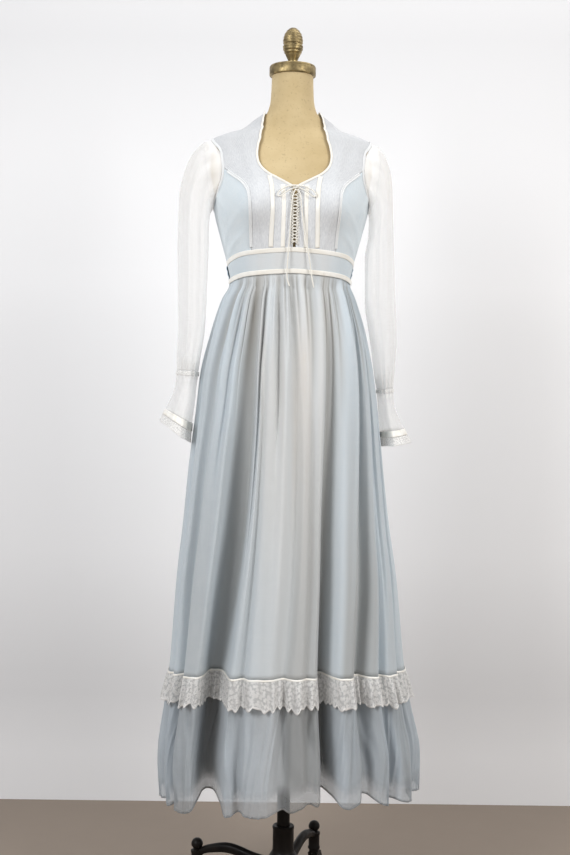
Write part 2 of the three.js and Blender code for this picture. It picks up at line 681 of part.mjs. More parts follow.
// Soft length-wise folds, stronger towards the wrist, and gathers at the sleeve head and the wrist.
function sleeveRings(rows, side) {
  const rings = rows.map((row, j) => {
    const down = j / (rows.length - 1);
    const head = Math.max(0, 1 - down * 4);
    return tubeRing(row, side, (i, turn) => {
      const soft = 2.4 * Math.sin(5 * turn + 1.1) + 1.5 * Math.sin(3 * turn + 2.3 + down);
      const gather = i % 2 ? 1 : -1;
      const gathered = gather * (1.5 * head + 6.4 * Math.max(0, down - 0.75));
      return soft * Math.sin(Math.PI * Math.min(1, down + 0.12)) + gathered;
    });
  });
  return [armholeRing(side), ...rings];
}

function cuffRings(rows, side) {
  return rows.map((row, j) => {
    const down = j / (rows.length - 1);
    return tubeRing(row, side, (i, turn) => {
      const gather = i % 2 ? 1 : -1;
      return gather * 1.6 * (1 - down) + down * (4.5 * Math.sin(4 * turn + 0.8) + 2.5 * Math.sin(7 * turn));
    });
  });
}

const tube = (rings, side) => wall(rings, inside(rings, -side * cloth, true), true);

// A band round the cuff: a share of the way from the wrist to the hem, lifted off the cuff's outside.
function cuffBand(rings, from, to, lift, thickness, flare = 0) {
  const [upper, lower] = rings.slice(-2);
  const at = (share, out) => {
    const ring = upper.map((p, i) => p.clone().lerp(lower[i], share));
    const centre = ring.reduce((sum, p) => sum.add(p), v3(0, 0, 0)).divideScalar(ring.length);
    return ring.map((p) => p.clone().addScaledVector(p.clone().sub(centre).setZ(0).normalize(), out));
  };
  return wall(
    [at(from, lift + thickness), at(to, lift + thickness + flare)],
    [at(from, lift), at(to, lift + flare)],
    true,
  );
}

// ---------------------------------------------------------------- lacing, bow and sash
// A round cord along points, as an extruded section with a step every few diameters.
function cord(points, diameter, steps, sides = 8) {
  const section = new THREE.Shape();
  for (let i = 0; i < sides; i++) {
    const turn = (2 * Math.PI * i) / sides;
    const [x, y] = [(diameter / 2) * Math.cos(turn), (diameter / 2) * Math.sin(turn)];
    if (i) section.lineTo(x, y);
    else section.moveTo(x, y);
  }
  const path = new THREE.CatmullRomCurve3(points.map((p) => v3(...p)));
  return new THREE.ExtrudeGeometry(section, {
    steps,
    extrudePath: path,
    bevelEnabled: false,
    curveSegments: 1,
  });
}

const frontAt = (x, z, lift) => {
  const p = skin(angleOf({ x, z }), z, lift);
  return [p.x, p.y, p.z];
};
const laceDiameter = 2.8;
const knotSize = { radius: 4.6, deep: 0.8, tall: 0.9 };
const knotAt = v3(3, skin(0, 1492, trimLift + trimThick + 4.6).y, 1491);
// The tails hang from the knot over the bodice, the midriff band and the first gathers.
const tailRight = [
  [0.8, -104.7, 1486.9],
  [-1.4, -105.9, 1482.5],
  [-5, -107.5, 1472],
  [-8, -107.4, 1440],
  [-10, -103.6, 1400],
  [-12, -100.6, 1366],
  [-14, -99.6, 1330],
  [-14, -99.4, 1308],
  [-9, -100.6, 1292],
];
const tailLeft = [
  [5.2, -104.7, 1486.9],
  [7.4, -105.9, 1482.5],
  [10.5, -107.3, 1472],
  [14, -107.6, 1440],
  [20, -103.2, 1400],
  [28, -99.4, 1362],
  [33.5, -98, 1328],
  [37, -98, 1306],
  [40, -99.4, 1290],
];
// One loop of the bow: how far each point lies from the knot, sideways and up, and off the bodice.
const bowLoopRows = [
  { side: 2.5, up: 1.7, lift: 9.6 },
  { side: 18, up: -1, lift: 10.6 },
  { side: 34, up: -9, lift: 9.4 },
  { side: 41, up: -18, lift: 8.6 },
  { side: 35, up: -21, lift: 9.6 },
  { side: 17, up: -9, lift: 10.8 },
  { side: 2.5, up: -2.4, lift: 9.8 },
];
const bowLoop = (side) =>
  bowLoopRows.map((row) => frontAt(knotAt.x + side * row.side, knotAt.z + row.up, row.lift));
// The lacing hangs from the knot and crosses the front opening between the two loop tapes.
const lacingRows = 16;
const lacingTop = [knotAt.x, knotAt.y, knotAt.z - knotSize.radius * knotSize.tall - 0.35];
const lacing = Array.from({ length: lacingRows + 1 }, (_, i) => {
  const share = i / lacingRows;
  return i
    ? frontAt((i % 2 ? 1 : -1) * mix(7.4, 5.6, share), mix(1484, 1380, share), trimLift + trimThick + 1.3)
    : lacingTop;
});

const sash = {
  wide: 32, thick: 2.2, lift: ease + cloth + 1.3, knotHalf: 17, knotOut: 5.2, tail: 430,
};
const sashMiddle = (angle) => mix(bottomSeam(angle), topSeam(angle), 0.5);
const sashBand = (side) => {
  const path = Array.from({ length: 9 }, (_, i) => {
    const angle = mix(93, 175, i / 8);
    return { angle, z: sashMiddle(angle) };
  });
  return strip(path, sash.wide, { lift: sash.lift, thick: sash.thick, side });
};
const backOfBand = skin(180, sashMiddle(180), sash.lift).y;
const knotRings = () =>
  [-1, -0.6, 0.6, 1].map((share) => {
    const size = share === 1 || share === -1 ? 0.7 : 1;
    return Array.from({ length: 10 }, (_, i) => {
      const turn = (2 * Math.PI * i) / 10;
      return v3(
        size * sash.knotHalf * Math.cos(turn),
        backOfBand + sash.thick + sash.knotOut + size * 8 * Math.sin(turn),
        sashMiddle(180) + share * sash.knotHalf,
      );
    });
  });
// A tail falls from the knot over the skirt's back, in two soft bends.
function sashTail(side) {
  const steps = 8;
  const rings = Array.from({ length: steps + 1 }, (_, i) => {
    const t = i / steps;
    const z = sashMiddle(180) - sash.knotHalf - seamGap - t * sash.tail;
    const out = skirt.back(z) + 7.5;
    const centre = side * mix(9.5, 52 + 8 * (side > 0 ? 1 : 0), t ** 0.8);
    const half = mix(7.5, 19, Math.min(1, t * 4));
    const bow = 3 * Math.sin(t * 6 + side);
    return [
      v3(centre - half, out, z),
      v3(centre, out + 2.5 + bow, z),
      v3(centre + half, out, z),
      v3(centre + half, out + 1.4, z),
      v3(centre, out + 3.9 + bow, z),
      v3(centre - half, out + 1.4, z),
    ];
  });
  return stacked(rings);
}

// ---------------------------------------------------------------- form, pole and stand
function formBody() {
  const heights = [
    formBottom, 1000, 1110, 1200, 1250, 1300, 1350, 1396, 1428, 1456, 1495, 1540, 1580, 1600, 1616, 1632,
    1662, neckTop,
  ];
  return stacked(
    heights.map((z) => {
      const inset = formInset.body + formInset.shoulder * bell(z - shoulderEnd.z - 8, 32);
      return Array.from({ length: formSides }, (_, i) => skin((360 * i) / formSides, z, -inset).setZ(z));
    }),
  );
}

// A turned piece from a closed profile of radius and height.
function turned(profile, sides) {
  const points = profile.map(([r, z]) => new THREE.Vector2(r, z));
  return new THREE.LatheGeometry(points, sides).rotateX(Math.PI / 2);
}
const neckCap = [[0, 0.3], [47, 0.3], [48.5, 2], [48.5, 18], [45.5, 21.6], [0, 21.6]];
const finial = [
  [0, 0], [11, 0], [11, 6], [9.5, 9], [15, 22], [20.4, 34], [21, 40], [19.4, 45], [20.8, 50], [17.5, 66],
  [10, 77], [0, 80.5],
];

const wasm = await Module();
wasm.setup();
function solid(geometry, matrix) {
  const flat = geometry.index ? geometry.toNonIndexed() : geometry.clone();
  if (matrix) flat.applyMatrix4(matrix);
  const position = flat.attributes.position.array;
  const found = new Map();
  const vertices = [];
  const triangles = [];
  for (let i = 0; i < position.length; i += 3) {
    const corner = [0, 1, 2].map((k) => Math.round(position[i + k] * 1e4) / 1e4);
    const key = corner.join();
    if (!found.has(key)) {
      found.set(key, vertices.length / 3);
      vertices.push(...corner);
    }
    triangles.push(found.get(key));
  }
  const kept = [];
  for (let i = 0; i < triangles.length; i += 3) {
    const [a, b, c] = triangles.slice(i, i + 3);
    if (a !== b && b !== c && a !== c) kept.push(a, b, c);
  }
  return new wasm.Manifold(
    new wasm.Mesh({
      numProp: 3,
      vertProperties: new Float32Array(vertices),
      triVerts: new Uint32Array(kept),
    }),
  );
}
function geometryFrom(made) {
  const mesh = made.getMesh();
  const geometry = new THREE.BufferGeometry();
  geometry.setAttribute("position", new THREE.BufferAttribute(mesh.vertProperties, 3));
  geometry.setIndex(new THREE.BufferAttribute(mesh.triVerts, 1));
  return geometry;
}
function bow() {
  const knot = new THREE.SphereGeometry(knotSize.radius, 8, 6)
    .scale(1, knotSize.deep, knotSize.tall)
    .translate(...knotAt.toArray());
  const loops = [-1, 1].map((side) => solid(cord(bowLoop(side), laceDiameter, 10, 6)));
  return geometryFrom(loops.reduce((made, loop) => made.add(loop), solid(knot)));
}
const rod = (radius, from, to, sides = 16) =>
  turned([[0, from], [radius, from], [radius, to], [0, to]], sides);
const block = (x, y, z, at) => new THREE.BoxGeometry(x, y, z).translate(...at);
const legTurns = [0, 90, 180, 270].map((step) => leg.turn + step);
const turnZ = (degrees) => new THREE.Matrix4().makeRotationZ(rad(degrees));

// Across a leg: sideways and up, as shares of its width and height.
const legSection = [[-0.5, -0.3], [0.5, -0.3], [0.5, 0.15], [0.28, 0.5], [-0.28, 0.5], [-0.5, 0.15]];
// One leg along +X: a shallow arch from the hub to the boss over the castor.
function legShape() {
  const rows = [
    { x: 8, z: 84, high: 36, wide: 24 },
    { x: 60, z: 93, high: 28, wide: 22 },
    { x: 125, z: 107, high: 26, wide: 20 },
    { x: 170, z: 99, high: 22, wide: 18 },
    { x: 197, z: 86, high: 20, wide: 17 },
  ];
  return stacked(
    rows.map(({ x, z, high, wide }) =>
      legSection.map(([y, up]) =>
        v3(x, y * wide, z + up * high),
      ),
    ),
  );
}

function standBase() {
  const { radius, bore, bottom, top } = housing;
  const profile = [
    [0, bottom], [30, bottom], [32, bottom + 8], [30, 112], [radius + 1, 122], [radius, 126],
    [radius, top - 3], [radius - 3, top], [0, top],
  ];
  let made = solid(turned(profile, 16));
  const knobBall = new THREE.SphereGeometry(knob.radius, 8, 6)
    .rotateX(Math.PI / 2)
    .translate(leg.reach, 0, knob.z);
  const bossRod = rod(boss.radius, boss.bottom, boss.top, 12).translate(leg.reach, 0, 0);
  for (const turn of legTurns) {
    for (const shape of [legShape(), bossRod, knobBall]) made = made.add(solid(shape, turnZ(turn)));
  }
  made = made.subtract(solid(rod(bore, pole.bottom - 2, top + 5, 16)));
  const stemBore = rod(boss.bore, boss.bottom - 5, boss.boreTop, 10).translate(leg.reach, 0, 0);
  for (const turn of legTurns) made = made.subtract(solid(stemBore, turnZ(turn)));
  return geometryFrom(made);
}

// The castor's fork: stem, crown, two cheeks and the axle, trailing behind the stem along +X.
function castorFork() {
  const { trail, tread, cheek, axle, stem, crown, wheel } = castor;
  const cheekY = tread / 2 + 1 + cheek / 2;
  let made = solid(rod(stem, crown - 1, boss.boreTop - 2, 8));
  made = made.add(solid(rod(11, crown - 3.5, crown + 4.4, 10)));
  const bridge = block(trail + 18, tread + 2 + 2 * cheek, 3.5, [(trail - 2) / 2, 0, crown - 1.75]);
  made = made.add(solid(bridge));
  for (const side of [-1, 1]) {
    const outline = [
      [-10, crown - 1], [trail - 7, wheel - 7], [trail + 7, wheel - 7], [trail + 8, wheel + 5],
      [trail + 7, crown - 1],
    ];
    const plate = new THREE.Shape(outline.map(([x, z]) => new THREE.Vector2(x, z)));
    const geometry = new THREE.ExtrudeGeometry(plate, { depth: cheek, bevelEnabled: false })
      .rotateX(Math.PI / 2)
      .translate(0, side * cheekY + cheek / 2, 0);
    made = made.add(solid(geometry));
  }
  made = made.add(solid(rod(axle, -cheekY, cheekY, 8).rotateX(Math.PI / 2).translate(trail, 0, wheelCentre)));
  return geometryFrom(made);
}

function castorWheel() {
  const { wheel, tread, axle } = castor;
  const bore = axle + 0.5;
  const half = tread / 2;
  const profile = [
    [bore, -half], [wheel - 3, -half + 0.6], [wheel, -half + 3.5],
    [wheel, half - 3.5], [wheel - 3, half - 0.6], [bore, half], [bore, -half],
  ];
  return turned(profile, wheelSides).rotateZ(Math.PI / wheelSides).rotateX(Math.PI / 2);
}

// ---------------------------------------------------------------- the part
const finish = (color, roughness, metalness = 0) =>
  new THREE.MeshStandardMaterial({ color, roughness, metalness });
const materials = {
  voile: finish("#bccdd6", 0.9),
  dimity: finish("#e4e6e8", 0.9),
  sheer: finish("#f1efe9", 0.9),
  satin: finish("#f3e6d3", 0.4),
  lace: finish("#f3eee6", 0.85),
  cordage: finish("#f7f1e3", 0.7),
  linen: finish("#d8c293", 0.85),
  brass: finish("#a08345", 0.35, 1),
  enamel: finish("#15110f", 0.35),
  rubber: finish("#221e1b", 0.7),
};
const part = new THREE.Group();
function add(name, geometry, material) {
  const mesh = new THREE.Mesh(geometry, materials[material]);
  mesh.name = name;
  part.add(mesh);
  return mesh;
}

const sides = [["right", -1], ["left", 1]];
const sleeveRows = { right: sleeveRight, left: sleeveLeft };
const cuffRows = { right: cuffRight, left: cuffLeft };

for (const [name, side] of sides) {
  add(`centre_panel_${name}`, panel(centrePanelPattern(), side), "dimity");
  add(`side_panel_${name}`, panel(sidePanelPattern(), side), "voile");
  add(`back_panel_${name}`, panel(backPanelPattern(), side), "voile");
  add(`princess_trim_${name}`, strip(princessPath, 4.5, { side }), "lace");
  add(`armhole_trim_${name}`, strip(armholePath, 6, { side, shift: 4, closed: true }), "sheer");
  add(`inner_ribbon_${name}`, strip(frontRibbonPath(23, 25, 1496), 8.6, { side }), "satin");
  add(`outer_ribbon_${name}`, strip(frontRibbonPath(46.5, 52, 1513), 9.6, { side }), "satin");
  add(`loop_tape_${name}`, strip(loopTapePath, 4.6, { side }), "cordage");
  add(`sleeve_${name}`, tube(sleeveRings(sleeveRows[name], side), side), "sheer");
  const cuff = cuffRings(cuffRows[name], side);
  add(`cuff_${name}`, tube(cuff, side), "sheer");
  add(`cuff_ribbon_${name}`, cuffBand(cuff, 0.76, 0.92, 0.8, trimThick), "satin");
  add(`cuff_lace_${name}`, cuffBand(cuff, 0.94, 1.1, 0.8, trimThick, 1), "lace");
  add(`sash_band_${name}`, sashBand(side), "voile");
  add(`sash_tail_${name}`, sashTail(side), "voile");
}
add("midriff_front", panel(bandPattern(-89.9, 89.9, 14), 1), "voile");
add("midriff_back", panel(bandPattern(90.1, 269.9, 14), 1), "voile");
const neckRound = [...neckPath.map(({ angle, z }) => ({ angle: -angle, z })).reverse(), ...neckPath];
add("neck_trim", strip(neckRound, 4), "lace");
add("waist_ribbon_upper", strip(waistRibbonPath(topSeam), 10.6, { lift: trimLift - 0.4 }), "satin");
add("waist_ribbon_lower", strip(waistRibbonPath(bottomSeam), 11.6, { lift: trimLift + 4.4 }), "satin");
add("front_lacing", cord(lacing, 1.8, lacingRows * 2, 4), "cordage");
add("lace_bow", bow(), "cordage");
add("lace_tail_right", cord(tailRight, laceDiameter, 26), "cordage");
add("lace_tail_left", cord(tailLeft, laceDiameter, 26), "cordage");
add("sash_knot", stacked(knotRings()), "voile");

for (const [name, half] of Object.entries(halves)) {
  add(`skirt_${name}`, tier(half, skirtLevels, skirtPoint), "voile");
  add(`flounce_${name}`, tier(half, [0, 0.4, 1], flouncePoint), "voile");
  add(`lace_ribbon_${name}`, laceTrim(half, laceRibbonEdges, trimThick), "satin");
  add(`lace_ruffle_${name}`, laceTrim(half, laceRuffleEdges, trimThick), "lace");
}

add("form_body", formBody(), "linen");
add("neck_cap", turned(neckCap, 20).translate(0, 0, neckTop), "brass");
add("finial", turned(finial, 12).translate(0, 0, neckTop + 21.9), "brass");
add("pole", rod(pole.radius, pole.bottom, formBottom - seamGap, 16), "enamel");
add("stand_base", standBase(), "enamel");
legTurns.forEach((turn, i) => {
  const fork = add(`castor_fork_${i + 1}`, castorFork(), "enamel");
  const wheel = add(`castor_wheel_${i + 1}`, castorWheel(), "rubber");
  const out = (reach, z) => v3(reach * Math.cos(rad(turn)), reach * Math.sin(rad(turn)), z);
  fork.rotation.z = rad(turn);
  fork.position.copy(out(leg.reach, 0));
  wheel.rotation.z = rad(turn);
  wheel.position.copy(out(leg.reach + castor.trail, wheelCentre));
});

export default part;
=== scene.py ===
# A prairie maxi dress on a dress form: cloth, lace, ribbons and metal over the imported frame.
import math

import bpy
import numpy as np
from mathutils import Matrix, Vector


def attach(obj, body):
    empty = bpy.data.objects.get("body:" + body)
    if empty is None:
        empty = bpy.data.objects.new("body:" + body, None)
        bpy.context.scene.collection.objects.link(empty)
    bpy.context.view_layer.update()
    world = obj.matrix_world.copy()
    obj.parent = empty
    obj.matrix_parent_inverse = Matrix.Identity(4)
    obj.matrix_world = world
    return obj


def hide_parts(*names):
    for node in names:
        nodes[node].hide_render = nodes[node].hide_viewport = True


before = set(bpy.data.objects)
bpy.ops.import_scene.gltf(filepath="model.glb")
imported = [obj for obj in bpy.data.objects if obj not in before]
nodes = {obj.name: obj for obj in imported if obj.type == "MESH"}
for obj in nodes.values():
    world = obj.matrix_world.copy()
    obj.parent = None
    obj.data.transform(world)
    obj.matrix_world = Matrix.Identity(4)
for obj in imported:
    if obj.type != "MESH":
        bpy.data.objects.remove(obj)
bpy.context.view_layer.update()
scene = bpy.context.scene
mm = 0.001
sides = (("right", -1), ("left", 1))  # the wearer's own

# The camera stands in front, a little to the wearer's right: angles in degrees, places in metres.
cameraSet = {"azimuth": -4.5, "distance": 2.6, "height": 1.093, "yaw": 0.175, "roll": 0.71, "lens": 52.34,
             "shift": -0.0497}
lightSet = [
    {"name": "windowLeft", "place": (-2.0, -2.0, 2.2), "aim": (0, 0, 1.45), "size": (1.1, 1.5), "power": 50,
     "tone": (0.98, 0.99, 1.0)},
    {"name": "windowRight", "place": (2.0, -2.2, 2.2), "aim": (0, 0, 1.45), "size": (1.1, 1.5), "power": 50,
     "tone": (1.0, 0.985, 0.965)},
    {"name": "wallWash", "place": (0.6, 0.05, 3.1), "aim": (0.5, 0.66, 1.9), "size": (3.2, 0.5), "power": 19,
     "tone": (1.0, 1.0, 1.0)},
]
roomSet = {"tone": (0.96, 0.97, 1.0), "strength": 0.42}
stageSet = {"wallBehind": 0.655, "floorTone": (0.285, 0.232, 0.187), "wallTone": (0.96, 0.96, 0.97),
            "wallShaded": (0.69, 0.69, 0.70), "wide": 9, "deep": 12, "tall": 7}


def makeCamera():
    turn = math.radians(cameraSet["azimuth"])
    place = Vector((math.sin(turn), -math.cos(turn), 0)) * cameraSet["distance"]
    forward = -place.normalized()
    upward = Vector((0, 0, 1))
    yaw = math.radians(cameraSet["yaw"])
    forward = Vector((forward.x * math.cos(yaw) - forward.y * math.sin(yaw),
                      forward.x * math.sin(yaw) + forward.y * math.cos(yaw), 0))
    level = forward.cross(upward)
    roll = math.radians(cameraSet["roll"])
    right = level * math.cos(roll) + upward * math.sin(roll)
    top = upward * math.cos(roll) - level * math.sin(roll)
    data = bpy.data.cameras.new("portrait")
    data.lens = cameraSet["lens"]
    data.sensor_fit = "VERTICAL"
    data.sensor_height = 36
    data.sensor_width = 24
    data.shift_y = cameraSet["shift"]
    data.clip_end = 50
    camera = bpy.data.objects.new("portrait", data)
    scene.collection.objects.link(camera)
    basis = camera.matrix_world.copy()
    for row in range(3):
        basis[row][0], basis[row][1], basis[row][2] = right[row], top[row], -forward[row]
        basis[row][3] = (place.x, place.y, cameraSet["height"])[row]
    camera.matrix_world = basis
    scene.camera = camera
    return forward


def softLight(name, place, aim, size, power, tone):
    data = bpy.data.lights.new(name, "AREA")
    data.shape = "RECTANGLE"
    data.size, data.size_y = size
    data.energy = power
    data.color = tone
    lamp = bpy.data.objects.new(name, data)
    scene.collection.objects.link(lamp)
    lamp.location = place
    lamp.rotation_euler = (Vector(aim) - Vector(place)).to_track_quat("-Z", "Y").to_euler()


def makeLights():
    for row in lightSet:
        softLight(**row)
    world = bpy.data.worlds.new("room")
    scene.world = world
    world.use_nodes = True
    sky = world.node_tree.nodes["Background"]
    sky.inputs["Color"].default_value = (*roomSet["tone"], 1)
    sky.inputs["Strength"].default_value = roomSet["strength"]
    scene.view_settings.view_transform = "Standard"


forward = makeCamera()
makeLights()
print("camera and lights are set")


# Every node is made here: its settings first, then its inputs, each a plain value or a link.
def addNode(tree, kind, values=None, **settings):
    made = tree.nodes.new(kind)
    for key, value in settings.items():
        setattr(made, key, value)
    for key, value in (values or {}).items():
        if isinstance(value, bpy.types.NodeSocket):
            tree.links.new(value, made.inputs[key])
        else:
            made.inputs[key].default_value = value
    return made


def calc(tree, operation, a, b=0.0, c=0.0):
    return addNode(tree, "ShaderNodeMath", {0: a, 1: b, 2: c}, operation=operation).outputs[0]


def vectorCalc(tree, operation, a, b):
    return addNode(tree, "ShaderNodeVectorMath", {0: a, 1: b}, operation=operation).outputs[0]


def blendTone(tree, share, a, b):
    made = addNode(tree, "ShaderNodeMix", {0: share}, data_type="RGBA")
    for index, value in ((6, a), (7, b)):
        if isinstance(value, bpy.types.NodeSocket):
            tree.links.new(value, made.inputs[index])
        else:
            made.inputs[index].default_value = (*value, 1)
    return made.outputs[2]


def ramp(tree, value, low, high, toLow=0.0, toHigh=1.0):
    return addNode(tree, "ShaderNodeMapRange", {0: value, 1: low, 2: high, 3: toLow, 4: toHigh}).outputs[0]


def noise(tree, vector, scale, detail=2.0, rough=0.5):
    return addNode(tree, "ShaderNodeTexNoise",
                   {"Vector": vector, "Scale": scale, "Detail": detail, "Roughness": rough}).outputs[0]


# Noise drawn out into streaks: how often it changes along each way of the place.
def streaks(tree, place, scales, detail=2.0, rough=0.5):
    return noise(tree, vectorCalc(tree, "MULTIPLY", place, scales), 1.0, detail, rough)


# The three numbers of a place.
def partsOf(tree, place):
    return addNode(tree, "ShaderNodeSeparateXYZ", {0: place}).outputs


# A place counted in pitches of a repeat.
def perPitch(tree, place, pitch):
    scale = calc(tree, "DIVIDE", 1.0, pitch)
    return addNode(tree, "ShaderNodeVectorMath", {0: place, "Scale": scale}, operation="SCALE").outputs[0]


def effectGroup(name, inputs, outputs):
    group = bpy.data.node_groups.new(name, "ShaderNodeTree")
    for label, kind, value in inputs:
        made = group.interface.new_socket(name=label, in_out="INPUT", socket_type=kind)
        if value is not None:
            made.default_value = value
    for label, kind in outputs:
        group.interface.new_socket(name=label, in_out="OUTPUT", socket_type=kind)
    given = group.nodes.new("NodeGroupInput")
    result = group.nodes.new("NodeGroupOutput")
    return group, given.outputs, result.inputs


floatSocket, vectorSocket = "NodeSocketFloat", "NodeSocketVector"


# Plain weave: threads both ways, a slub here and there, and soft cloudiness. Places are in metres on the
# cloth.
def makeWeave():
    group, given, result = effectGroup(
        "plainWeave",
        [("Place", vectorSocket, None), ("Thread", floatSocket, 0.0006), ("Slub", floatSocket, 0.5),
         ("Cloud", floatSocket, 0.5)],
        [("Height", floatSocket), ("Tone", floatSocket)])
    x, y, _ = partsOf(group, given["Place"])
    perThread = calc(group, "DIVIDE", 2 * math.pi, given["Thread"])
    across = calc(group, "SINE", calc(group, "MULTIPLY", x, perThread))
    along = calc(group, "SINE", calc(group, "MULTIPLY", y, perThread))
    threads = calc(group, "MULTIPLY", across, along)
    longSlub = streaks(group, given["Place"], (900.0, 26.0, 1.0), 1.0)
    crossSlub = streaks(group, given["Place"], (22.0, 760.0, 1.0), 1.0)
    slub = calc(group, "SUBTRACT", calc(group, "ADD", longSlub, crossSlub), 1.0)
    cloud = calc(group, "SUBTRACT", noise(group, given["Place"], 38.0, 3.0, 0.6), 0.5)
    uneven = calc(group, "MULTIPLY", slub, given["Slub"])
    height = calc(group, "MULTIPLY_ADD", threads, 0.35, uneven)
    tone = calc(group, "MULTIPLY_ADD", cloud, given["Cloud"], uneven)
    group.links.new(height, result["Height"])
    group.links.new(tone, result["Tone"])
    return group


# Crinkled dobby: fine ridges that run lengthwise, broken up along the way.
def makeCrinkle():
    group, given, result = effectGroup(
        "crinkle", [("Place", vectorSocket, None), ("Pitch", floatSocket, 0.003)],
        [("Height", floatSocket), ("Tone", floatSocket)])
    wander = streaks(group, given["Place"], (90.0, 30.0, 1.0))
    across = partsOf(group, given["Place"])[0]
    shifted = calc(group, "ADD", across, calc(group, "MULTIPLY", wander, 0.006))
    inRidges = calc(group, "DIVIDE", shifted, given["Pitch"])
    ridge = calc(group, "SINE", calc(group, "MULTIPLY", inRidges, 2 * math.pi))
    broken = streaks(group, given["Place"], (330.0, 120.0, 1.0), 3.0, 0.6)
    height = calc(group, "ADD", calc(group, "MULTIPLY", ridge, calc(group, "MULTIPLY", broken, 0.8)), broken)
    group.links.new(height, result["Height"])
    # Tone is the broken-up height again, for painted light and shade in the colour.
    group.links.new(calc(group, "SUBTRACT", broken, 0.5), result["Tone"])
    return group


# Lace: a fine net ground with flower heads and a dense edge. Place x runs along the lace and y down it, in
# metres, and z runs from 0 at its seam to 1 at its edge. Flower and Net are the sizes of one repeat.
def makeLaceNet():
    group, given, result = effectGroup(
        "laceNet",
        [("Place", vectorSocket, None), ("Flower", floatSocket, 0.014), ("Net", floatSocket, 0.0022)],
        [("Solid", floatSocket), ("Height", floatSocket)])
    netPlace = perPitch(group, given["Place"], given["Net"])
    net = addNode(group, "ShaderNodeTexVoronoi", {"Vector": netPlace, "Scale": 1.0, "Randomness": 0.35},
                  feature="DISTANCE_TO_EDGE", voronoi_dimensions="2D")
    netLine = ramp(group, net.outputs[0], 0.05, 0.16, 1.0, 0.0)
    flowerPlace = perPitch(group, given["Place"], given["Flower"])
    flower = addNode(group, "ShaderNodeTexVoronoi", {"Vector": flowerPlace, "Scale": 1.0, "Randomness": 0.75},
                     feature="F1", voronoi_dimensions="2D")
    x, y, _ = partsOf(group, vectorCalc(group, "SUBTRACT", flowerPlace, flower.outputs["Position"]))
    turn = calc(group, "ARCTAN2", y, x)
    fivefold = calc(group, "COSINE", calc(group, "MULTIPLY", turn, 5.0))
    petals = calc(group, "MULTIPLY_ADD", fivefold, 0.11, 0.33)
    inPetal = calc(group, "SUBTRACT", petals, flower.outputs["Distance"])
    head = ramp(group, inPetal, -0.02, 0.03)
    outline = ramp(group, calc(group, "ABSOLUTE", inPetal), 0.03, 0.07, 1.0, 0.0)
    heart = ramp(group, flower.outputs["Distance"], 0.06, 0.1, 1.0, 0.0)
    petal = calc(group, "MAXIMUM", calc(group, "MULTIPLY", head, 0.4), calc(group, "MAXIMUM", outline, heart))
    edge = ramp(group, partsOf(group, given["Place"])[2], 0.90, 0.95)
    ground = calc(group, "MAXIMUM", petal, calc(group, "MULTIPLY", netLine, 0.75))
    solid = calc(group, "MAXIMUM", ground, edge)
    group.links.new(solid, result["Solid"])
    group.links.new(calc(group, "ADD", petal, calc(group, "MULTIPLY", edge, 0.6)), result["Height"])
    return group


# Age: broad blotches and small flecks over the whole surface.
def makeAge():
    group, given, result = effectGroup(
        "age", [("Place", vectorSocket, None), ("Blotch", floatSocket, 9.0), ("Fleck", floatSocket, 160.0)],
        [("Blotches", floatSocket), ("Flecks", floatSocket)])
    blotch = noise(group, given["Place"], given["Blotch"], 4.0, 0.6)
    fleck = noise(group, given["Place"], given["Fleck"], 2.0, 0.6)
    group.links.new(ramp(group, blotch, 0.35, 0.7), result["Blotches"])
    group.links.new(ramp(group, fleck, 0.6, 0.72), result["Flecks"])
    return group


weave, crinkle, laceNet, age = makeWeave(), makeCrinkle(), makeLaceNet(), makeAge()


def useGroup(tree, group, values):
    return addNode(tree, "ShaderNodeGroup", values, node_tree=group).outputs


def newFinish(name, **principled):
    finish = bpy.data.materials.new(name)
    finish.use_nodes = True
    tree = finish.node_tree
    shader = tree.nodes["Principled BSDF"]
    for label, value in principled.items():
        shader.inputs[label.replace("_", " ")].default_value = value
    return finish, tree, shader


def onCloth(tree):
    return addNode(tree, "ShaderNodeAttribute", attribute_name="onCloth").outputs["Vector"]


def objectPlace(tree):
    return addNode(tree, "ShaderNodeTexCoord").outputs["Object"]


def bumpFrom(tree, shader, height, strength, distance):
    made = addNode(tree, "ShaderNodeBump", {"Strength": strength, "Distance": distance, "Height": height})
    tree.links.new(made.outputs[0], shader.inputs["Normal"])


# Painted glow: thin cloth and lace give off a little light of this tone, standing in for light that comes
# through them.
passedLight = (1, 0.99, 0.97, 1)  # the tone of the light that comes through thin white cloth


# A woven cloth of one colour, with its thin places showing a warmer second tone.
def clothFinish(name, tone, second, alpha, sheen, thread=0.0006, cloud=0.6, paintedGlow=0.0):
    finish, tree, shader = newFinish(name, Roughness=0.92, Sheen_Weight=sheen, Sheen_Roughness=0.45,
                                     Specular_IOR_Level=0.2, Emission_Color=passedLight,
                                     Emission_Strength=paintedGlow)
    place = onCloth(tree)
    woven = useGroup(tree, weave, {"Place": place, "Thread": thread, "Slub": 0.5, "Cloud": cloud})
    share = ramp(tree, woven["Tone"], -0.35, 0.35)
    tree.links.new(blendTone(tree, share, tone, second), shader.inputs["Base Color"])
    bumpFrom(tree, shader, woven["Height"], 0.35, 0.0006)
    if alpha < 1:
        cover = calc(tree, "MULTIPLY_ADD", partsOf(tree, place)[2], 0.5, alpha)  # closer where it is gathered
        tree.links.new(calc(tree, "MULTIPLY_ADD", woven["Tone"], -0.06, cover), shader.inputs["Alpha"])
    return finish
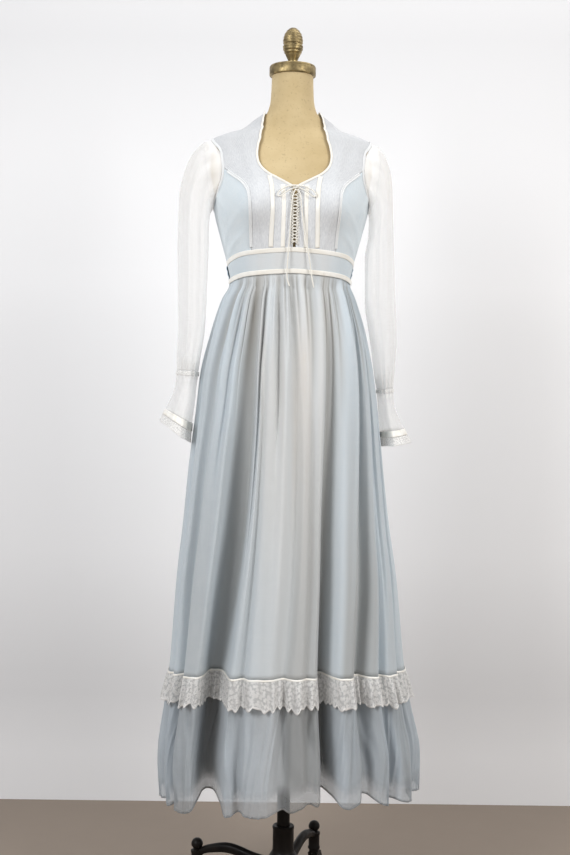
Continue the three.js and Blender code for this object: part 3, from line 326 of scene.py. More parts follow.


# Deep is the tone of the painted shade mixed into each tier's colour.
tierTones = {"cool": (0.62, 0.712, 0.78), "pale": (0.755, 0.80, 0.825), "warm": (0.80, 0.755, 0.70),
             "thin": (0.84, 0.86, 0.87), "deep": (0.365, 0.355, 0.33), "paleFrom": 0.02, "paleTo": 0.12}
flounceTones = {"cool": (0.50, 0.57, 0.635), "pale": (0.59, 0.625, 0.655), "warm": (0.60, 0.60, 0.585),
                "thin": (0.70, 0.73, 0.75), "deep": (0.25, 0.25, 0.24), "paleFrom": 0.02, "paleTo": 0.12}
midriffTones = {"cool": (0.65, 0.735, 0.79), "pale": (0.70, 0.72, 0.725), "warm": (0.73, 0.72, 0.70),
                "thin": (0.78, 0.80, 0.81), "deep": (0.60, 0.63, 0.65), "paleFrom": 0.03, "paleTo": 0.10}


# The tiers: cool cloth that turns warm where it lies over the form, with painted shade in its colour: greyer
# deep in the folds and in broad streaks.
def tierFinish(name, tones, alpha, sheerHem=None):
    finish, tree, shader = newFinish(name, Roughness=0.94, Sheen_Weight=0.18, Sheen_Roughness=0.5,
                                     Specular_IOR_Level=0.15)
    place = onCloth(tree)
    woven = useGroup(tree, weave, {"Place": place, "Thread": 0.0006, "Slub": 0.5, "Cloud": 0.7})
    x, _, z = partsOf(tree, objectPlace(tree))
    pale = ramp(tree, calc(tree, "ABSOLUTE", x), tones["paleTo"], tones["paleFrom"])
    high = ramp(tree, z, 0.6, 1.15)
    streaky = ramp(tree, streaks(tree, objectPlace(tree), (26.0, 8.0, 0.9)), 0.42, 0.62, 0.1, 0.9)
    warm = calc(tree, "MULTIPLY", calc(tree, "MULTIPLY", pale, high), streaky)
    tone = blendTone(tree, pale, tones["cool"], tones["pale"])
    tone = blendTone(tree, warm, tone, tones["warm"])
    # Painted shade: broad random streaks, as wide as the lobes, take up to a third of the deep tone.
    lobe = streaks(tree, objectPlace(tree), (15.0, 15.0, 0.7), 3.0)
    tone = blendTone(tree, ramp(tree, lobe, 0.3, 0.7, 0.32, 0.0), tone, tones["deep"])
    tone = blendTone(tree, ramp(tree, woven["Tone"], -0.35, 0.35, 0.0, 0.35), tone, tones["thin"])
    # Painted shade: the grid's shade for folds, gathers and sides turned from the window, carried in
    # onCloth's third number, darkens the cloth towards the deep tone.
    tone = blendTone(tree, partsOf(tree, place)[2], tone, tones["deep"])
    tree.links.new(tone, shader.inputs["Base Color"])
    bumpFrom(tree, shader, woven["Height"], 0.35, 0.0006)
    cover = calc(tree, "MULTIPLY_ADD", woven["Tone"], -0.05, alpha)
    if sheerHem is not None:
        fromHem = addNode(tree, "ShaderNodeAttribute", attribute_name="fromHem").outputs["Fac"]
        uneven = calc(tree, "MULTIPLY", noise(tree, objectPlace(tree), 14.0), 0.03)
        lining = ramp(tree, calc(tree, "SUBTRACT", fromHem, uneven), 0.006, 0.034, sheerHem, 1.0)
        rolled = ramp(tree, fromHem, 0.003, 0.0045, 1.0, 0.0)
        cover = calc(tree, "MULTIPLY", cover, calc(tree, "MAXIMUM", lining, rolled))
    tree.links.new(cover, shader.inputs["Alpha"])
    return finish


dimityTones = {"groove": (0.64, 0.66, 0.685), "ridge": (0.79, 0.805, 0.82), "yoke": (0.48, 0.485, 0.495),
               "yokeFrom": 1.50, "yokeTo": 1.60}


def crinkleFinish():
    finish, tree, shader = newFinish("crinkledDimity", Roughness=0.95, Sheen_Weight=0.15,
                                     Specular_IOR_Level=0.15)
    made = useGroup(tree, crinkle, {"Place": onCloth(tree), "Pitch": 0.0032})
    # Painted light and shade: the crinkle's low places take the darker groove tone and its raised places the
    # lighter ridge tone.
    share = ramp(tree, made["Tone"], -0.22, 0.22)
    tone = blendTone(tree, share, dimityTones["groove"], dimityTones["ridge"])
    height = partsOf(tree, objectPlace(tree))[2]
    inYoke = ramp(tree, height, dimityTones["yokeFrom"], dimityTones["yokeTo"], 0.0, 0.5)
    tone = blendTone(tree, inYoke, tone, dimityTones["yoke"])
    tree.links.new(tone, shader.inputs["Base Color"])
    bumpFrom(tree, shader, made["Height"], 0.5, 0.0009)
    return finish


def satinFinish(name, tone, second):
    finish, tree, shader = newFinish(name, Roughness=0.34, Sheen_Weight=0.2, Specular_IOR_Level=0.55)
    place = onCloth(tree)
    ribs = streaks(tree, place, (60.0, 2600.0, 1.0), 1.0)
    soft = streaks(tree, place, (40.0, 18.0, 1.0))
    tree.links.new(blendTone(tree, ramp(tree, soft, 0.35, 0.65), tone, second), shader.inputs["Base Color"])
    bumpFrom(tree, shader, calc(tree, "MULTIPLY_ADD", soft, 2.0, ribs), 0.3, 0.0005)
    return finish


# Thin is how much the open net covers; the flutes' hollows get painted shade and are closer, and the net
# between the raised flowers is painted a little darker as shade.
def laceFinish(name, tone, flower, net, thin, paintedGlow):
    finish, tree, shader = newFinish(name, Roughness=0.85, Sheen_Weight=0.15, Specular_IOR_Level=0.2,
                                     Emission_Color=passedLight, Emission_Strength=paintedGlow)
    made = useGroup(tree, laceNet, {"Place": onCloth(tree), "Flower": flower, "Net": net})
    reliefShade = tuple(value * 0.82 for value in tone)
    flute = addNode(tree, "ShaderNodeAttribute", attribute_name="flute").outputs["Fac"]
    shaded = tuple(value * 0.5 for value in tone)
    tone = blendTone(tree, made["Height"], reliefShade, tone)
    tone = blendTone(tree, calc(tree, "MULTIPLY", flute, 0.6), tone, shaded)
    tree.links.new(tone, shader.inputs["Base Color"])
    cover = ramp(tree, made["Solid"], 0.0, 1.0, thin, 1.0)
    tree.links.new(calc(tree, "MULTIPLY_ADD", flute, 0.25, cover), shader.inputs["Alpha"])
    bumpFrom(tree, shader, made["Height"], 0.6, 0.0008)
    return finish


# The cord's groove tone is painted shade in the grooves of its twist.
cordTones = {"groove": (0.82, 0.79, 0.71), "strand": (0.95, 0.93, 0.87)}
linenTones = {"clean": (0.64, 0.51, 0.295), "aged": (0.53, 0.405, 0.215), "fleck": (0.30, 0.21, 0.12)}


def cordFinish():
    finish, tree, shader = newFinish("rayonCord", Roughness=0.5, Sheen_Weight=0.2, Specular_IOR_Level=0.4)
    x, y, _ = partsOf(tree, onCloth(tree))
    twist = calc(tree, "SINE", calc(tree, "MULTIPLY_ADD", y, 2600.0, calc(tree, "MULTIPLY", x, 900.0)))
    # Painted shade: the grooves of the twist take the darker groove tone.
    tone = blendTone(tree, ramp(tree, twist, -1.0, 1.0), cordTones["groove"], cordTones["strand"])
    tree.links.new(tone, shader.inputs["Base Color"])
    bumpFrom(tree, shader, twist, 0.5, 0.0003)
    return finish


def linenFinish():
    finish, tree, shader = newFinish("agedLinen", Roughness=0.8, Sheen_Weight=0.1, Specular_IOR_Level=0.25)
    place = objectPlace(tree)
    worn = useGroup(tree, age, {"Place": place, "Blotch": 11.0, "Fleck": 190.0})
    woven = useGroup(tree, weave, {"Place": place, "Thread": 0.0012, "Slub": 0.4, "Cloud": 0.3})
    tone = blendTone(tree, worn["Blotches"], linenTones["clean"], linenTones["aged"])
    tone = blendTone(tree, calc(tree, "MULTIPLY", worn["Flecks"], 0.35), tone, linenTones["fleck"])
    tree.links.new(tone, shader.inputs["Base Color"])
    bumpFrom(tree, shader, woven["Height"], 0.2, 0.0006)
    return finish


def metalFinish(name, bright, dull, metallic, roughness, blotch, specular=0.5):
    finish, tree, shader = newFinish(name, Metallic=metallic, Roughness=roughness[0],
                                     Specular_IOR_Level=specular)
    worn = useGroup(tree, age, {"Place": objectPlace(tree), "Blotch": blotch, "Fleck": 220.0})
    tree.links.new(blendTone(tree, worn["Blotches"], bright, dull), shader.inputs["Base Color"])
    tree.links.new(ramp(tree, worn["Blotches"], 0.0, 1.0, *roughness), shader.inputs["Roughness"])
    bumpFrom(tree, shader, worn["Flecks"], 0.12, 0.0006)
    return finish


finishes = {
    "skirtVoile": tierFinish("skirtVoile", tierTones, 0.93),
    "flounceVoile": tierFinish("flounceVoile", flounceTones, 0.88, 0.5),
    "midriffVoile": tierFinish("midriffVoile", midriffTones, 1.0),
    "bodiceVoile": clothFinish("bodiceVoile", (0.67, 0.755, 0.81), (0.76, 0.81, 0.835), 1.0, 0.2),
    "sashVoile": clothFinish("sashVoile", (0.40, 0.53, 0.62), (0.50, 0.61, 0.68), 1.0, 0.2),
    "sheerVoile": clothFinish("sheerVoile", (0.93, 0.93, 0.925), (0.97, 0.965, 0.955), 0.27, 0.1, cloud=0.35,
                              paintedGlow=0.06),
    "whiteBand": clothFinish("whiteBand", (0.77, 0.79, 0.80), (0.86, 0.87, 0.87), 1.0, 0.15, thread=0.0009),
    "dimity": crinkleFinish(),
    "creamBand": clothFinish("creamBand", (0.84, 0.80, 0.73), (0.92, 0.89, 0.83), 1.0, 0.15, thread=0.0009),
    "satin": satinFinish("creamSatin", (0.88, 0.845, 0.765), (0.95, 0.935, 0.885)),
    "lace": laceFinish("floralLace", (1.0, 0.99, 0.97), 0.0078, 0.0015, 0.12, paintedGlow=0.03),
    "cuffLace": laceFinish("cuffLace", (1.0, 0.99, 0.97), 0.0045, 0.0012, 0.55, paintedGlow=0.08),
    "cord": cordFinish(),
    "linen": linenFinish(),
    "brass": metalFinish("agedBrass", (0.42, 0.32, 0.155), (0.13, 0.10, 0.05), 0.85, (0.36, 0.6), 75.0),
    "enamel": metalFinish("blackEnamel", (0.006, 0.005, 0.005), (0.012, 0.009, 0.007), 0.0, (0.3, 0.55), 40.0,
                          specular=0.16),
    "rubber": metalFinish("darkRubber", (0.020, 0.016, 0.013), (0.034, 0.028, 0.024), 0.0, (0.62, 0.8), 60.0),
}
print("finishes are made")


def flatStage(name, corners, finish):
    mesh = bpy.data.meshes.new(name)
    mesh.from_pydata([tuple(corner) for corner in corners], [], [(0, 1, 2, 3)])
    mesh.materials.append(finish)
    made = bpy.data.objects.new(name, mesh)
    scene.collection.objects.link(made)


def makeBackdrop():
    across = forward.cross(Vector((0, 0, 1)))
    back = forward * stageSet["wallBehind"]
    wide, deep = across * stageSet["wide"], forward * -stageSet["deep"]
    tall = Vector((0, 0, stageSet["tall"]))
    floorFinish, tree, shader = newFinish("paleFloor", Roughness=0.75)
    grain = noise(tree, objectPlace(tree), 14.0, 4.0, 0.6)
    low = tuple(value * 0.94 for value in stageSet["floorTone"])
    tree.links.new(blendTone(tree, grain, low, stageSet["floorTone"]), shader.inputs["Base Color"])
    wallFinish, tree, shader = newFinish("whiteWall", Roughness=0.9)
    # Painted shade on the wall: darker in a band low down and darker again above 1.35 m.
    height = partsOf(tree, objectPlace(tree))[2]
    low = calc(tree, "MULTIPLY", ramp(tree, height, 0.12, 0.28), ramp(tree, height, 0.65, 0.34))
    darker = calc(tree, "MAXIMUM", ramp(tree, height, 1.35, 2.0), calc(tree, "MULTIPLY", low, 0.45))
    tone = blendTone(tree, darker, stageSet["wallTone"], stageSet["wallShaded"])
    tree.links.new(tone, shader.inputs["Base Color"])
    seenFromBehind = addNode(tree, "ShaderNodeNewGeometry").outputs["Backfacing"]
    tree.links.new(calc(tree, "SUBTRACT", 1.0, seenFromBehind), shader.inputs["Alpha"])
    flatStage("floor", (-wide - deep, wide - deep, wide + deep, -wide + deep), floorFinish)
    flatStage("wall", (back - wide, back + wide, back + wide + tall, back - wide + tall), wallFinish)


makeBackdrop()
print("backdrop is set")


# A smooth curve through a table's rows that never overshoots them.
def smoothColumn(at, value):
    at, value = np.asarray(at, float), np.asarray(value, float)
    order = np.argsort(at)
    at, value = at[order], value[order]
    slope = np.diff(value) / np.diff(at)
    tangent = np.concatenate([slope[:1], np.zeros(len(at) - 2), slope[-1:]])
    product, total = slope[:-1] * slope[1:], slope[:-1] + slope[1:]
    rising = product > 0
    tangent[1:-1][rising] = 2 * product[rising] / total[rising]

    def read(where):
        where = np.clip(where, at[0], at[-1])
        i = np.clip(np.searchsorted(at, where, side="right") - 1, 0, len(at) - 2)
        span = at[i + 1] - at[i]
        t = (where - at[i]) / span
        rest = 1 - t
        return ((1 + 2 * t) * rest * rest * value[i] + t * rest * rest * span * tangent[i]
                + t * t * (3 - 2 * t) * value[i + 1] - t * t * rest * span * tangent[i + 1])
    return read


def columnsOf(table, names):
    rows = np.array(table, float)
    return {name: smoothColumn(rows[:, 0], rows[:, i + 1]) for i, name in enumerate(names)}


def mix(a, b, t):
    return a + (b - a) * t


def signedPower(value, power):
    return np.sign(value) * np.abs(value) ** power


def bell(distance, wide):
    return np.exp(-((distance / wide) ** 2))


def unit(vectors):
    return vectors / np.maximum(np.linalg.norm(vectors, axis=-1, keepdims=True), 1e-9)


def smoothStep(value, low, high):
    t = np.clip((value - low) / (high - low), 0, 1)
    return t * t * (3 - 2 * t)


# Rises from 0 to 1 between the first two limits and falls back between the last two.
def inside(value, low, full, fading, high):
    return smoothStep(value, low, full) * (1 - smoothStep(value, fading, high))


# From here on lengths are in millimetres, and angles in degrees from the front towards the wearer's left.
cloth, ease, seamGap, trimThick = 1.2, 1.8, 0.3, 1.0
trimLift = ease + cloth + 1.2
sewnOn = ease + cloth + 0.2  # underside of a trim that is sewn flat
perDegree = 2.4
neckTop, formBottom, laceLine, hemLine = 1738, 905, 512, 250

# The form: height, half width, depth to the front and to the back, squareness
formRings = [
    (905, 138, 76, 86, 2.2), (980, 152, 90, 102, 2.2), (1100, 160, 100, 112, 2.2), (1190, 146, 97, 104, 2.2),
    (1250, 129, 90, 90, 2.2), (1300, 121, 86, 81, 2.2), (1344, 129, 89, 82, 2.25), (1396, 143, 95, 88, 2.3),
    (1450, 157, 99, 95, 2.35), (1500, 165, 93, 98, 2.3), (1545, 172, 81, 95, 2.15), (1580, 172, 67, 88, 1.95),
    (1599, 164, 60, 82, 1.8), (1611, 140, 56, 77, 1.75), (1622, 104, 53, 70, 1.75), (1640, 80, 51, 61, 1.85),
    (1662, 54, 48.5, 52, 2), (1690, 47.5, 46.5, 47, 2), (1738, 45.5, 45.5, 45.5, 2),
]
form = columnsOf(formRings, ("half", "front", "back", "square"))
cup = {"x": 80, "z": 1452, "depth": 24, "wide": 38, "above": 58, "below": 40}


# How far the bust stands forward.
def cupForward(x, z, facing):
    tall = np.where(z > cup["z"], cup["above"], cup["below"])
    frontal = np.sqrt(np.maximum(facing, 0))
    return cup["depth"] * bell(np.abs(x) - cup["x"], cup["wide"]) * bell(z - cup["z"], tall) * frontal


# A point on the form's own surface.
def formPoint(angle, z):
    angle, z = np.broadcast_arrays(np.asarray(angle, float), np.asarray(z, float))
    power = 2 / form["square"](z)
    facing = np.cos(np.radians(angle))
    x = form["half"](z) * signedPower(np.sin(np.radians(angle)), power)
    depth = np.where(facing > 0, form["front"](z), form["back"](z))
    y = -depth * signedPower(facing, power) - cupForward(x, z, facing)
    return np.stack([x, y, z], -1)


# A point lifted off the form, straight out of its surface.
def skin(angle, z, lift):
    along = formPoint(angle + 0.6, z) - formPoint(angle - 0.6, z)
    up = formPoint(angle, z + 1.5) - formPoint(angle, z - 1.5)
    return formPoint(angle, z) + unit(np.cross(along, up)) * np.asarray(lift, float)[..., None]


# The angle at which the form is so far out, at a height.
def angleOf(x, z):
    share = np.minimum(np.abs(x) / form["half"](z), 1)
    return np.sign(x) * np.degrees(np.arcsin(share ** (form["square"](z) / 2)))


# Every piece is made here: it rides on its body and takes the place of its own node, or of the nodes named.
# The last faces, as many as flat says, are not shaded smooth.
def makeMesh(name, points, faces, finish, body="figure", flat=0, places=None, replaced=None,
             extra=None):
    if replaced is None:
        replaced = (name,) if name in nodes else ()
    if name in nodes:
        name = name + "_finished"
    mesh = bpy.data.meshes.new(name)
    mesh.from_pydata((points * mm).tolist(), [], faces)
    mesh.polygons.foreach_set("use_smooth", np.arange(len(faces)) < len(faces) - flat)
    if places is not None:
        layer = mesh.attributes.new("onCloth", "FLOAT_VECTOR", "POINT")
        layer.data.foreach_set("vector", places.astype(np.float32).ravel())
    for label, values in (extra or {}).items():
        mesh.attributes.new(label, "FLOAT", "POINT").data.foreach_set("value", values.astype(np.float32))
    mesh.materials.append(finishes[finish])
    mesh.update()
    made = bpy.data.objects.new(name, mesh)
    scene.collection.objects.link(made)
    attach(made, body)
    if replaced:
        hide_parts(*replaced)
    return made


# A thin closed shell between two grids of points, rows by columns. Third is the third number of onCloth.
def shell(name, outer, inner, finish, ring=False, third=1.0, replaced=None, extra=None):
    rows, cols = outer.shape[:2]
    index = np.arange(rows * cols).reshape(rows, cols)
    right = np.roll(index, -1, 1) if ring else index[:, 1:]
    left = index if ring else index[:, :-1]
    top = np.stack([left[:-1], right[:-1], right[1:], left[1:]], -1).reshape(-1, 4)
    under = top[:, ::-1] + rows * cols
    rims = []

    def rim(a, b):
        rims.append(np.stack([a, a + rows * cols, b + rows * cols, b], -1))
    rim(left[0], right[0])
    rim(right[-1], left[-1])
    if not ring:
        rim(index[1:, 0], index[:-1, 0])
        rim(index[:-1, -1], index[1:, -1])
    rims = np.concatenate(rims)
    faces = np.concatenate([top, under, rims])
    points = np.concatenate([outer.reshape(-1, 3), inner.reshape(-1, 3)])
    a, b, c, d = (points[faces[:, k]] for k in range(4))
    volume = np.sum(a * np.cross(b, c)) + np.sum(a * np.cross(c, d))
    if volume < 0:
        faces = faces[:, ::-1]
    stepsAcross = np.linalg.norm(np.diff(outer, axis=1), axis=-1).mean(0)
    stepsDown = np.linalg.norm(np.diff(outer, axis=0), axis=-1).mean(1)
    across = np.concatenate([[0], np.cumsum(stepsAcross)]) * mm
    down = np.concatenate([[0], np.cumsum(stepsDown)]) * mm
    places = np.zeros((rows, cols, 3))
    places[..., 0] = across[None]
    places[..., 1] = down[:, None]
    places[..., 2] = third
    places = np.concatenate([places.reshape(-1, 3)] * 2)
    extra = {label: np.concatenate([values.ravel()] * 2) for label, values in (extra or {}).items()}
    return makeMesh(name, points, faces.tolist(), finish, flat=len(rims), places=places,
                    replaced=replaced, extra=extra)


# A second grid, under the first one by the cloth's thickness.
def wallUnder(grid, thickness, ring=False):
    if ring:
        along = np.roll(grid, -1, 1) - np.roll(grid, 1, 1)
    else:
        along = np.gradient(grid, axis=1)
    down = np.gradient(grid, axis=0)
    return grid + unit(np.cross(along, down)) * thickness


def walkedAlong(path):
    return np.concatenate([[0], np.cumsum(np.linalg.norm(np.diff(path, axis=0), axis=1))])


# A smooth line through points, cut into equal steps.
def splineLine(points, steps):
    points = np.array(points, float)
    last = len(points) - 1
    t = np.linspace(0, last, 400)
    i = np.minimum(t.astype(int), last - 1)
    w = (t - i)[:, None]
    p0, p1 = points[np.maximum(i - 1, 0)], points[i]
    p2, p3 = points[i + 1], points[np.minimum(i + 2, last)]
    v0, v1 = (p2 - p0) / 2, (p3 - p1) / 2
    path = (2 * p1 - 2 * p2 + v0 + v1) * w ** 3 + (-3 * p1 + 3 * p2 - 2 * v0 - v1) * w ** 2 + v0 * w + p1
    walked = walkedAlong(path)
    at = np.linspace(0, walked[-1], steps + 1)
    return np.stack([np.interp(at, walked, path[:, k]) for k in range(2)], -1)


fine = 6  # how many times finer than the frame's own panels


# A pattern is flat: the angle times perDegree, and the height. Its points are given by x or by angle.
def line(points, steps):
    flat = [((angleOf(first, z) if kind == "x" else first) * perDegree, z) for kind, first, z in points]
    return splineLine(flat, steps)


def joinedLine(parts):
    lines = [line(points, steps) for points, steps in parts]
    return np.concatenate([lines[0]] + [part[1:] for part in lines[1:]])


# A grid that fills the space between four edges.
def patch(bottom, top, left, right):
    u = np.linspace(0, 1, len(bottom))[None, :, None]
    v = np.linspace(0, 1, len(left))[:, None, None]
    return (mix(bottom[None], top[None], v) + mix(left[:, None], right[:, None], u)
            - mix(mix(bottom[0], bottom[-1], u), mix(top[0], top[-1], u), v))


def nudged(points, degrees):
    return points + np.array([degrees * perDegree, 0])


necklineHalf = [("x", 6, 1494), ("x", 17, 1500), ("x", 36, 1509.5), ("x", 56, 1520.5), ("x", 70.5, 1537),
                ("x", 75.5, 1559), ("x", 71.5, 1588), ("x", 68.8, 1601), ("x", 66, 1614), ("x", 63.6, 1626),
                ("x", 61, 1638), ("x", 58, 1650)]
neckSide, neckBack, neckCurve = ("a", 90, 1662), ("a", 180, 1647), ("a", 128, 1654)
shoulderEnd, shoulderMiddle, armpit = ("a", 90, 1599), ("a", 90, 1630), ("a", 90, 1457)
princessHalf = [("x", 84, 1363), ("x", 88, 1440), ("x", 90.5, 1471), ("x", 95, 1488), ("x", 106, 1504),
                ("x", 125, 1520), ("x", 144, 1536)]
armholeFront = [("a", 61, 1572), ("a", 74, 1590)]
armholeUnder = [("a", 59, 1512), ("a", 71, 1484)]
armholeBack = [("a", 107, 1480), ("a", 118, 1518), ("a", 119, 1556), ("a", 109, 1586)]
lacedGap = {"top": 5.2, "bottom": 2.6}


# A seam round the waist, from its heights at the front, side and back.
def bandHeight(front, side, back):
    return smoothColumn([0, 45, 90, 180], [front, mix(front, side, 0.32), side, back])


topSeam, bottomSeam = bandHeight(1367, 1344, 1342), bandHeight(1324, 1306, 1304)


def fromFront(angle):
    return np.abs((angle + 180) % 360 - 180)


def seamLine(seam, start, end, steps, shift):
    angle = np.linspace(start, end, steps + 1)
    return np.stack([angle * perDegree, seam(fromFront(angle)) + shift], -1)


# The princess seam from the band up, and the angle at its foot.
def princessSeam():
    _, x, z = princessHalf[0]
    z = float(topSeam(angleOf(x, z))) + seamGap
    return [("x", x, z)] + princessHalf[1:], float(angleOf(x, z))


def centrePattern():
    opening = [("x", lacedGap["bottom"], float(topSeam(0)) + seamGap), ("x", lacedGap["top"], 1490)]
    princess, footAngle = princessSeam()
    return patch(
        seamLine(topSeam, float(angleOf(opening[0][1], opening[0][2])), footAngle, 6 * fine, seamGap),
        nudged(line([neckSide, shoulderMiddle, shoulderEnd], 6 * fine), -0.35),
        joinedLine([(opening, 6 * fine), ([opening[1]] + necklineHalf + [neckSide], 7 * fine)]),
        nudged(joinedLine([(princess, 9 * fine),
                           ([princessHalf[-1]] + armholeFront + [shoulderEnd], 4 * fine)]), -0.08))


def sidePattern():
    princess, footAngle = princessSeam()
    high = princessHalf[-1]
    return patch(
        seamLine(topSeam, footAngle + 0.3, 89.9, 6 * fine, seamGap),
        line([("x", high[1] + 1, high[2])] + armholeUnder + [armpit], 6 * fine),
        nudged(line(princess, 9 * fine), 0.3),
        nudged(line([("a", 90, float(topSeam(90)) + seamGap), armpit], 9 * fine), -0.1))


def backPattern():
    low, high = ("a", 179.9, float(topSeam(180)) + seamGap), ("a", 179.8, neckBack[2])
    sideLow = ("a", 90, float(topSeam(90)) + seamGap)
    return patch(
        seamLine(topSeam, 90, 179.9, 7 * fine, seamGap),
        joinedLine([([shoulderEnd, shoulderMiddle, neckSide], 4 * fine),
                    ([neckSide, neckCurve, high], 3 * fine)]),
        joinedLine([([sideLow, armpit], 4 * fine), ([armpit] + armholeBack + [shoulderEnd], 7 * fine)]),
        line([low, high], 11 * fine))


def bandPattern(start, end):
    low = seamLine(bottomSeam, start, end, 150, seamGap)
    high = seamLine(topSeam, start, end, 150, -seamGap / 2)
    return low[None] + (high - low)[None] * np.linspace(0, 1, 15)[:, None, None]


creaseStrength = 1.7


# Soft creases in a panel: place (angle and height), reach along and across, lean and depth.
def creased(angle, z, creases):
    total = np.zeros_like(angle)
    for row in creases:
        across = (angle - row["angle"]) * perDegree
        up = z - row["z"]
        lean = math.radians(row["lean"])
        along = up * math.cos(lean) + across * math.sin(lean)
        side = across * math.cos(lean) - up * math.sin(lean)
        total += creaseStrength * row["depth"] * bell(side, row["wide"]) * bell(along, row["long"])
    return total


sideCreases = [
    {"angle": 62, "z": 1405, "lean": -52, "long": 55, "wide": 7, "depth": 1.3},
    {"angle": 70, "z": 1385, "lean": -46, "long": 60, "wide": 8, "depth": -1.2},
    {"angle": 58, "z": 1378, "lean": -60, "long": 48, "wide": 6, "depth": 1.1},
    {"angle": 66, "z": 1470, "lean": 30, "long": 34, "wide": 8, "depth": 1.2},
    {"angle": 75, "z": 1440, "lean": 12, "long": 50, "wide": 9, "depth": -1.1},
]
backCreases = [
    {"angle": 118, "z": 1420, "lean": 36, "long": 60, "wide": 9, "depth": 1.3},
    {"angle": 132, "z": 1400, "lean": 28, "long": 62, "wide": 10, "depth": -1.2},
    {"angle": 150, "z": 1450, "lean": 8, "long": 80, "wide": 11, "depth": 1.0},
    {"angle": 112, "z": 1530, "lean": -20, "long": 40, "wide": 9, "depth": 1.0},
    {"angle": 160, "z": 1560, "lean": 14, "long": 60, "wide": 12, "depth": -0.9},
]
centreCreases = [
    {"angle": 24, "z": 1400, "lean": 6, "long": 60, "wide": 6, "depth": 0.7},
    {"angle": 33, "z": 1560, "lean": 18, "long": 60, "wide": 8, "depth": 0.9},
    {"angle": 48, "z": 1590, "lean": 30, "long": 46, "wide": 8, "depth": -0.8},
]


# Small gathers along the princess seam, over the bust.
def bustGathers(z, fromSeam):
    over = bell(z - 1462, 34)
    ripple = np.sin(z * 2 * math.pi / 7.5 + 0.6 * np.sin(z / 5.0))
    return 0.75 * ripple * over * bell(fromSeam, 9)


def bodicePanel(name, pattern, side, finish, creases=(), gathered=None):
    angle, z = pattern[..., 0] / perDegree, pattern[..., 1]
    height = creased(angle, z, creases)
    if gathered:
        seam = angle[:, :1] if gathered == "left" else angle[:, -1:]
        height = height + bustGathers(z, np.abs(angle - seam) * perDegree)
    down, along = (np.minimum(np.arange(n), np.arange(n)[::-1]) / 4.0 for n in angle.shape)
    height = height * np.clip(np.minimum.outer(down, along), 0, 1)
    outer = skin(side * angle, z, ease + cloth + height)
    inner = skin(side * angle, z, ease + 0.2 + height)
    shell(name, outer, inner, finish, third=0.0)


for sideName, side in sides:
    bodicePanel(f"centre_panel_{sideName}", centrePattern(), side, "dimity", centreCreases, "right")
    bodicePanel(f"side_panel_{sideName}", sidePattern(), side, "bodiceVoile", sideCreases, "left")
    bodicePanel(f"back_panel_{sideName}", backPattern(), side, "bodiceVoile", backCreases)
bodicePanel("midriff_front", bandPattern(-89.9, 89.9), 1, "midriffVoile")
bodicePanel("midriff_back", bandPattern(90.1, 269.9), 1, "bodiceVoile")
print("bodice is cut")


def resampled(path, step):
    walked = walkedAlong(path)
    count = max(8, int(walked[-1] / step))
    at = np.linspace(0, walked[-1], count + 1)
    return np.stack([np.interp(at, walked, path[:, k]) for k in range(path.shape[1])], -1)


# A trim along a path on the form, with a profile across it.
def strip(name, path, wide, profile, finish, side=1, lift=sewnOn, shift=0.0, closed=False, wave=None,
          thick=0.3, columns=8, replaced=None):
    angle, z = side * path[:, 0] / perDegree, path[:, 1]
    centre = skin(angle, z, 0.0)
    if closed:
        along = np.roll(centre, -1, 0) - np.roll(centre, 1, 0)
    else:
        along = np.gradient(centre, axis=0)
    along = unit(along)
    out = skin(angle, z, 1.0) - centre
    across = unit(np.cross(out, along))
    share = np.linspace(-0.5, 0.5, columns + 1)
    height = np.array([profile(s) for s in share])
    if wave is not None:
        height = height[None] + wave(np.arange(len(z))[:, None], share[None])
    else:
        height = np.repeat(height[None], len(z), 0)
    base = centre[:, None] + across[:, None] * (share[None, :, None] * wide + shift * side)
    outer = base + out[:, None] * (lift + height)[..., None]
    inner = base + out[:, None] * (lift + height - thick)[..., None]
    third = (share + 0.5)[None]
    if closed:
        outer, inner, third = outer.transpose(1, 0, 2), inner.transpose(1, 0, 2), third.T
    shell(name, outer, inner, finish, ring=closed, third=third, replaced=replaced)


trimProfile = {"flat": 0.5, "edge": 0.3, "line": 0.75}


def plainProfile(s):
    return trimProfile["flat"] - trimProfile["edge"] * (2 * abs(s)) ** 4


def doubleLine(s):
    return trimProfile["edge"] + trimProfile["line"] * (bell(s - 0.33, 0.1) + bell(s + 0.33, 0.1))


def armholeLine(steps):
    return joinedLine([
        ([armpit] + armholeUnder[::-1] + [princessHalf[-1]], steps),
        ([princessHalf[-1]] + armholeFront + [shoulderEnd], steps),
        ([shoulderEnd] + armholeBack[::-1] + [armpit], 2 * steps)])[:-1]


princessPath = line([("x", 84, 1371)] + princessHalf[1:-1] + [("x", 133, 1527)], 110)
armholePath = resampled(armholeLine(60), 2.2)
neckPath = np.concatenate([
    line(necklineHalf + [neckSide], 130), line([neckSide, neckCurve, ("a", 178.4, neckBack[2])], 60)[1:]])
neckRound = np.concatenate([neckPath[::-1] * np.array([-1, 1]), neckPath])


# A ribbon beside the opening: how far out at its foot and at its top, and its top's height.
def frontRibbon(low, high, top):
    points = [("x", low, 1371), ("x", low, 1440), ("x", mix(low, high, 0.25), top - 24), ("x", high, top)]
    return line(points, 60)


# A slight unevenness along a ribbon.
def rippled(amount, pitch):
    def wave(row, share):
        return amount * np.sin(row * pitch + 0.8 * np.sin(row * pitch * 0.31)) * np.cos(share * math.pi * 0.4)
    return wave


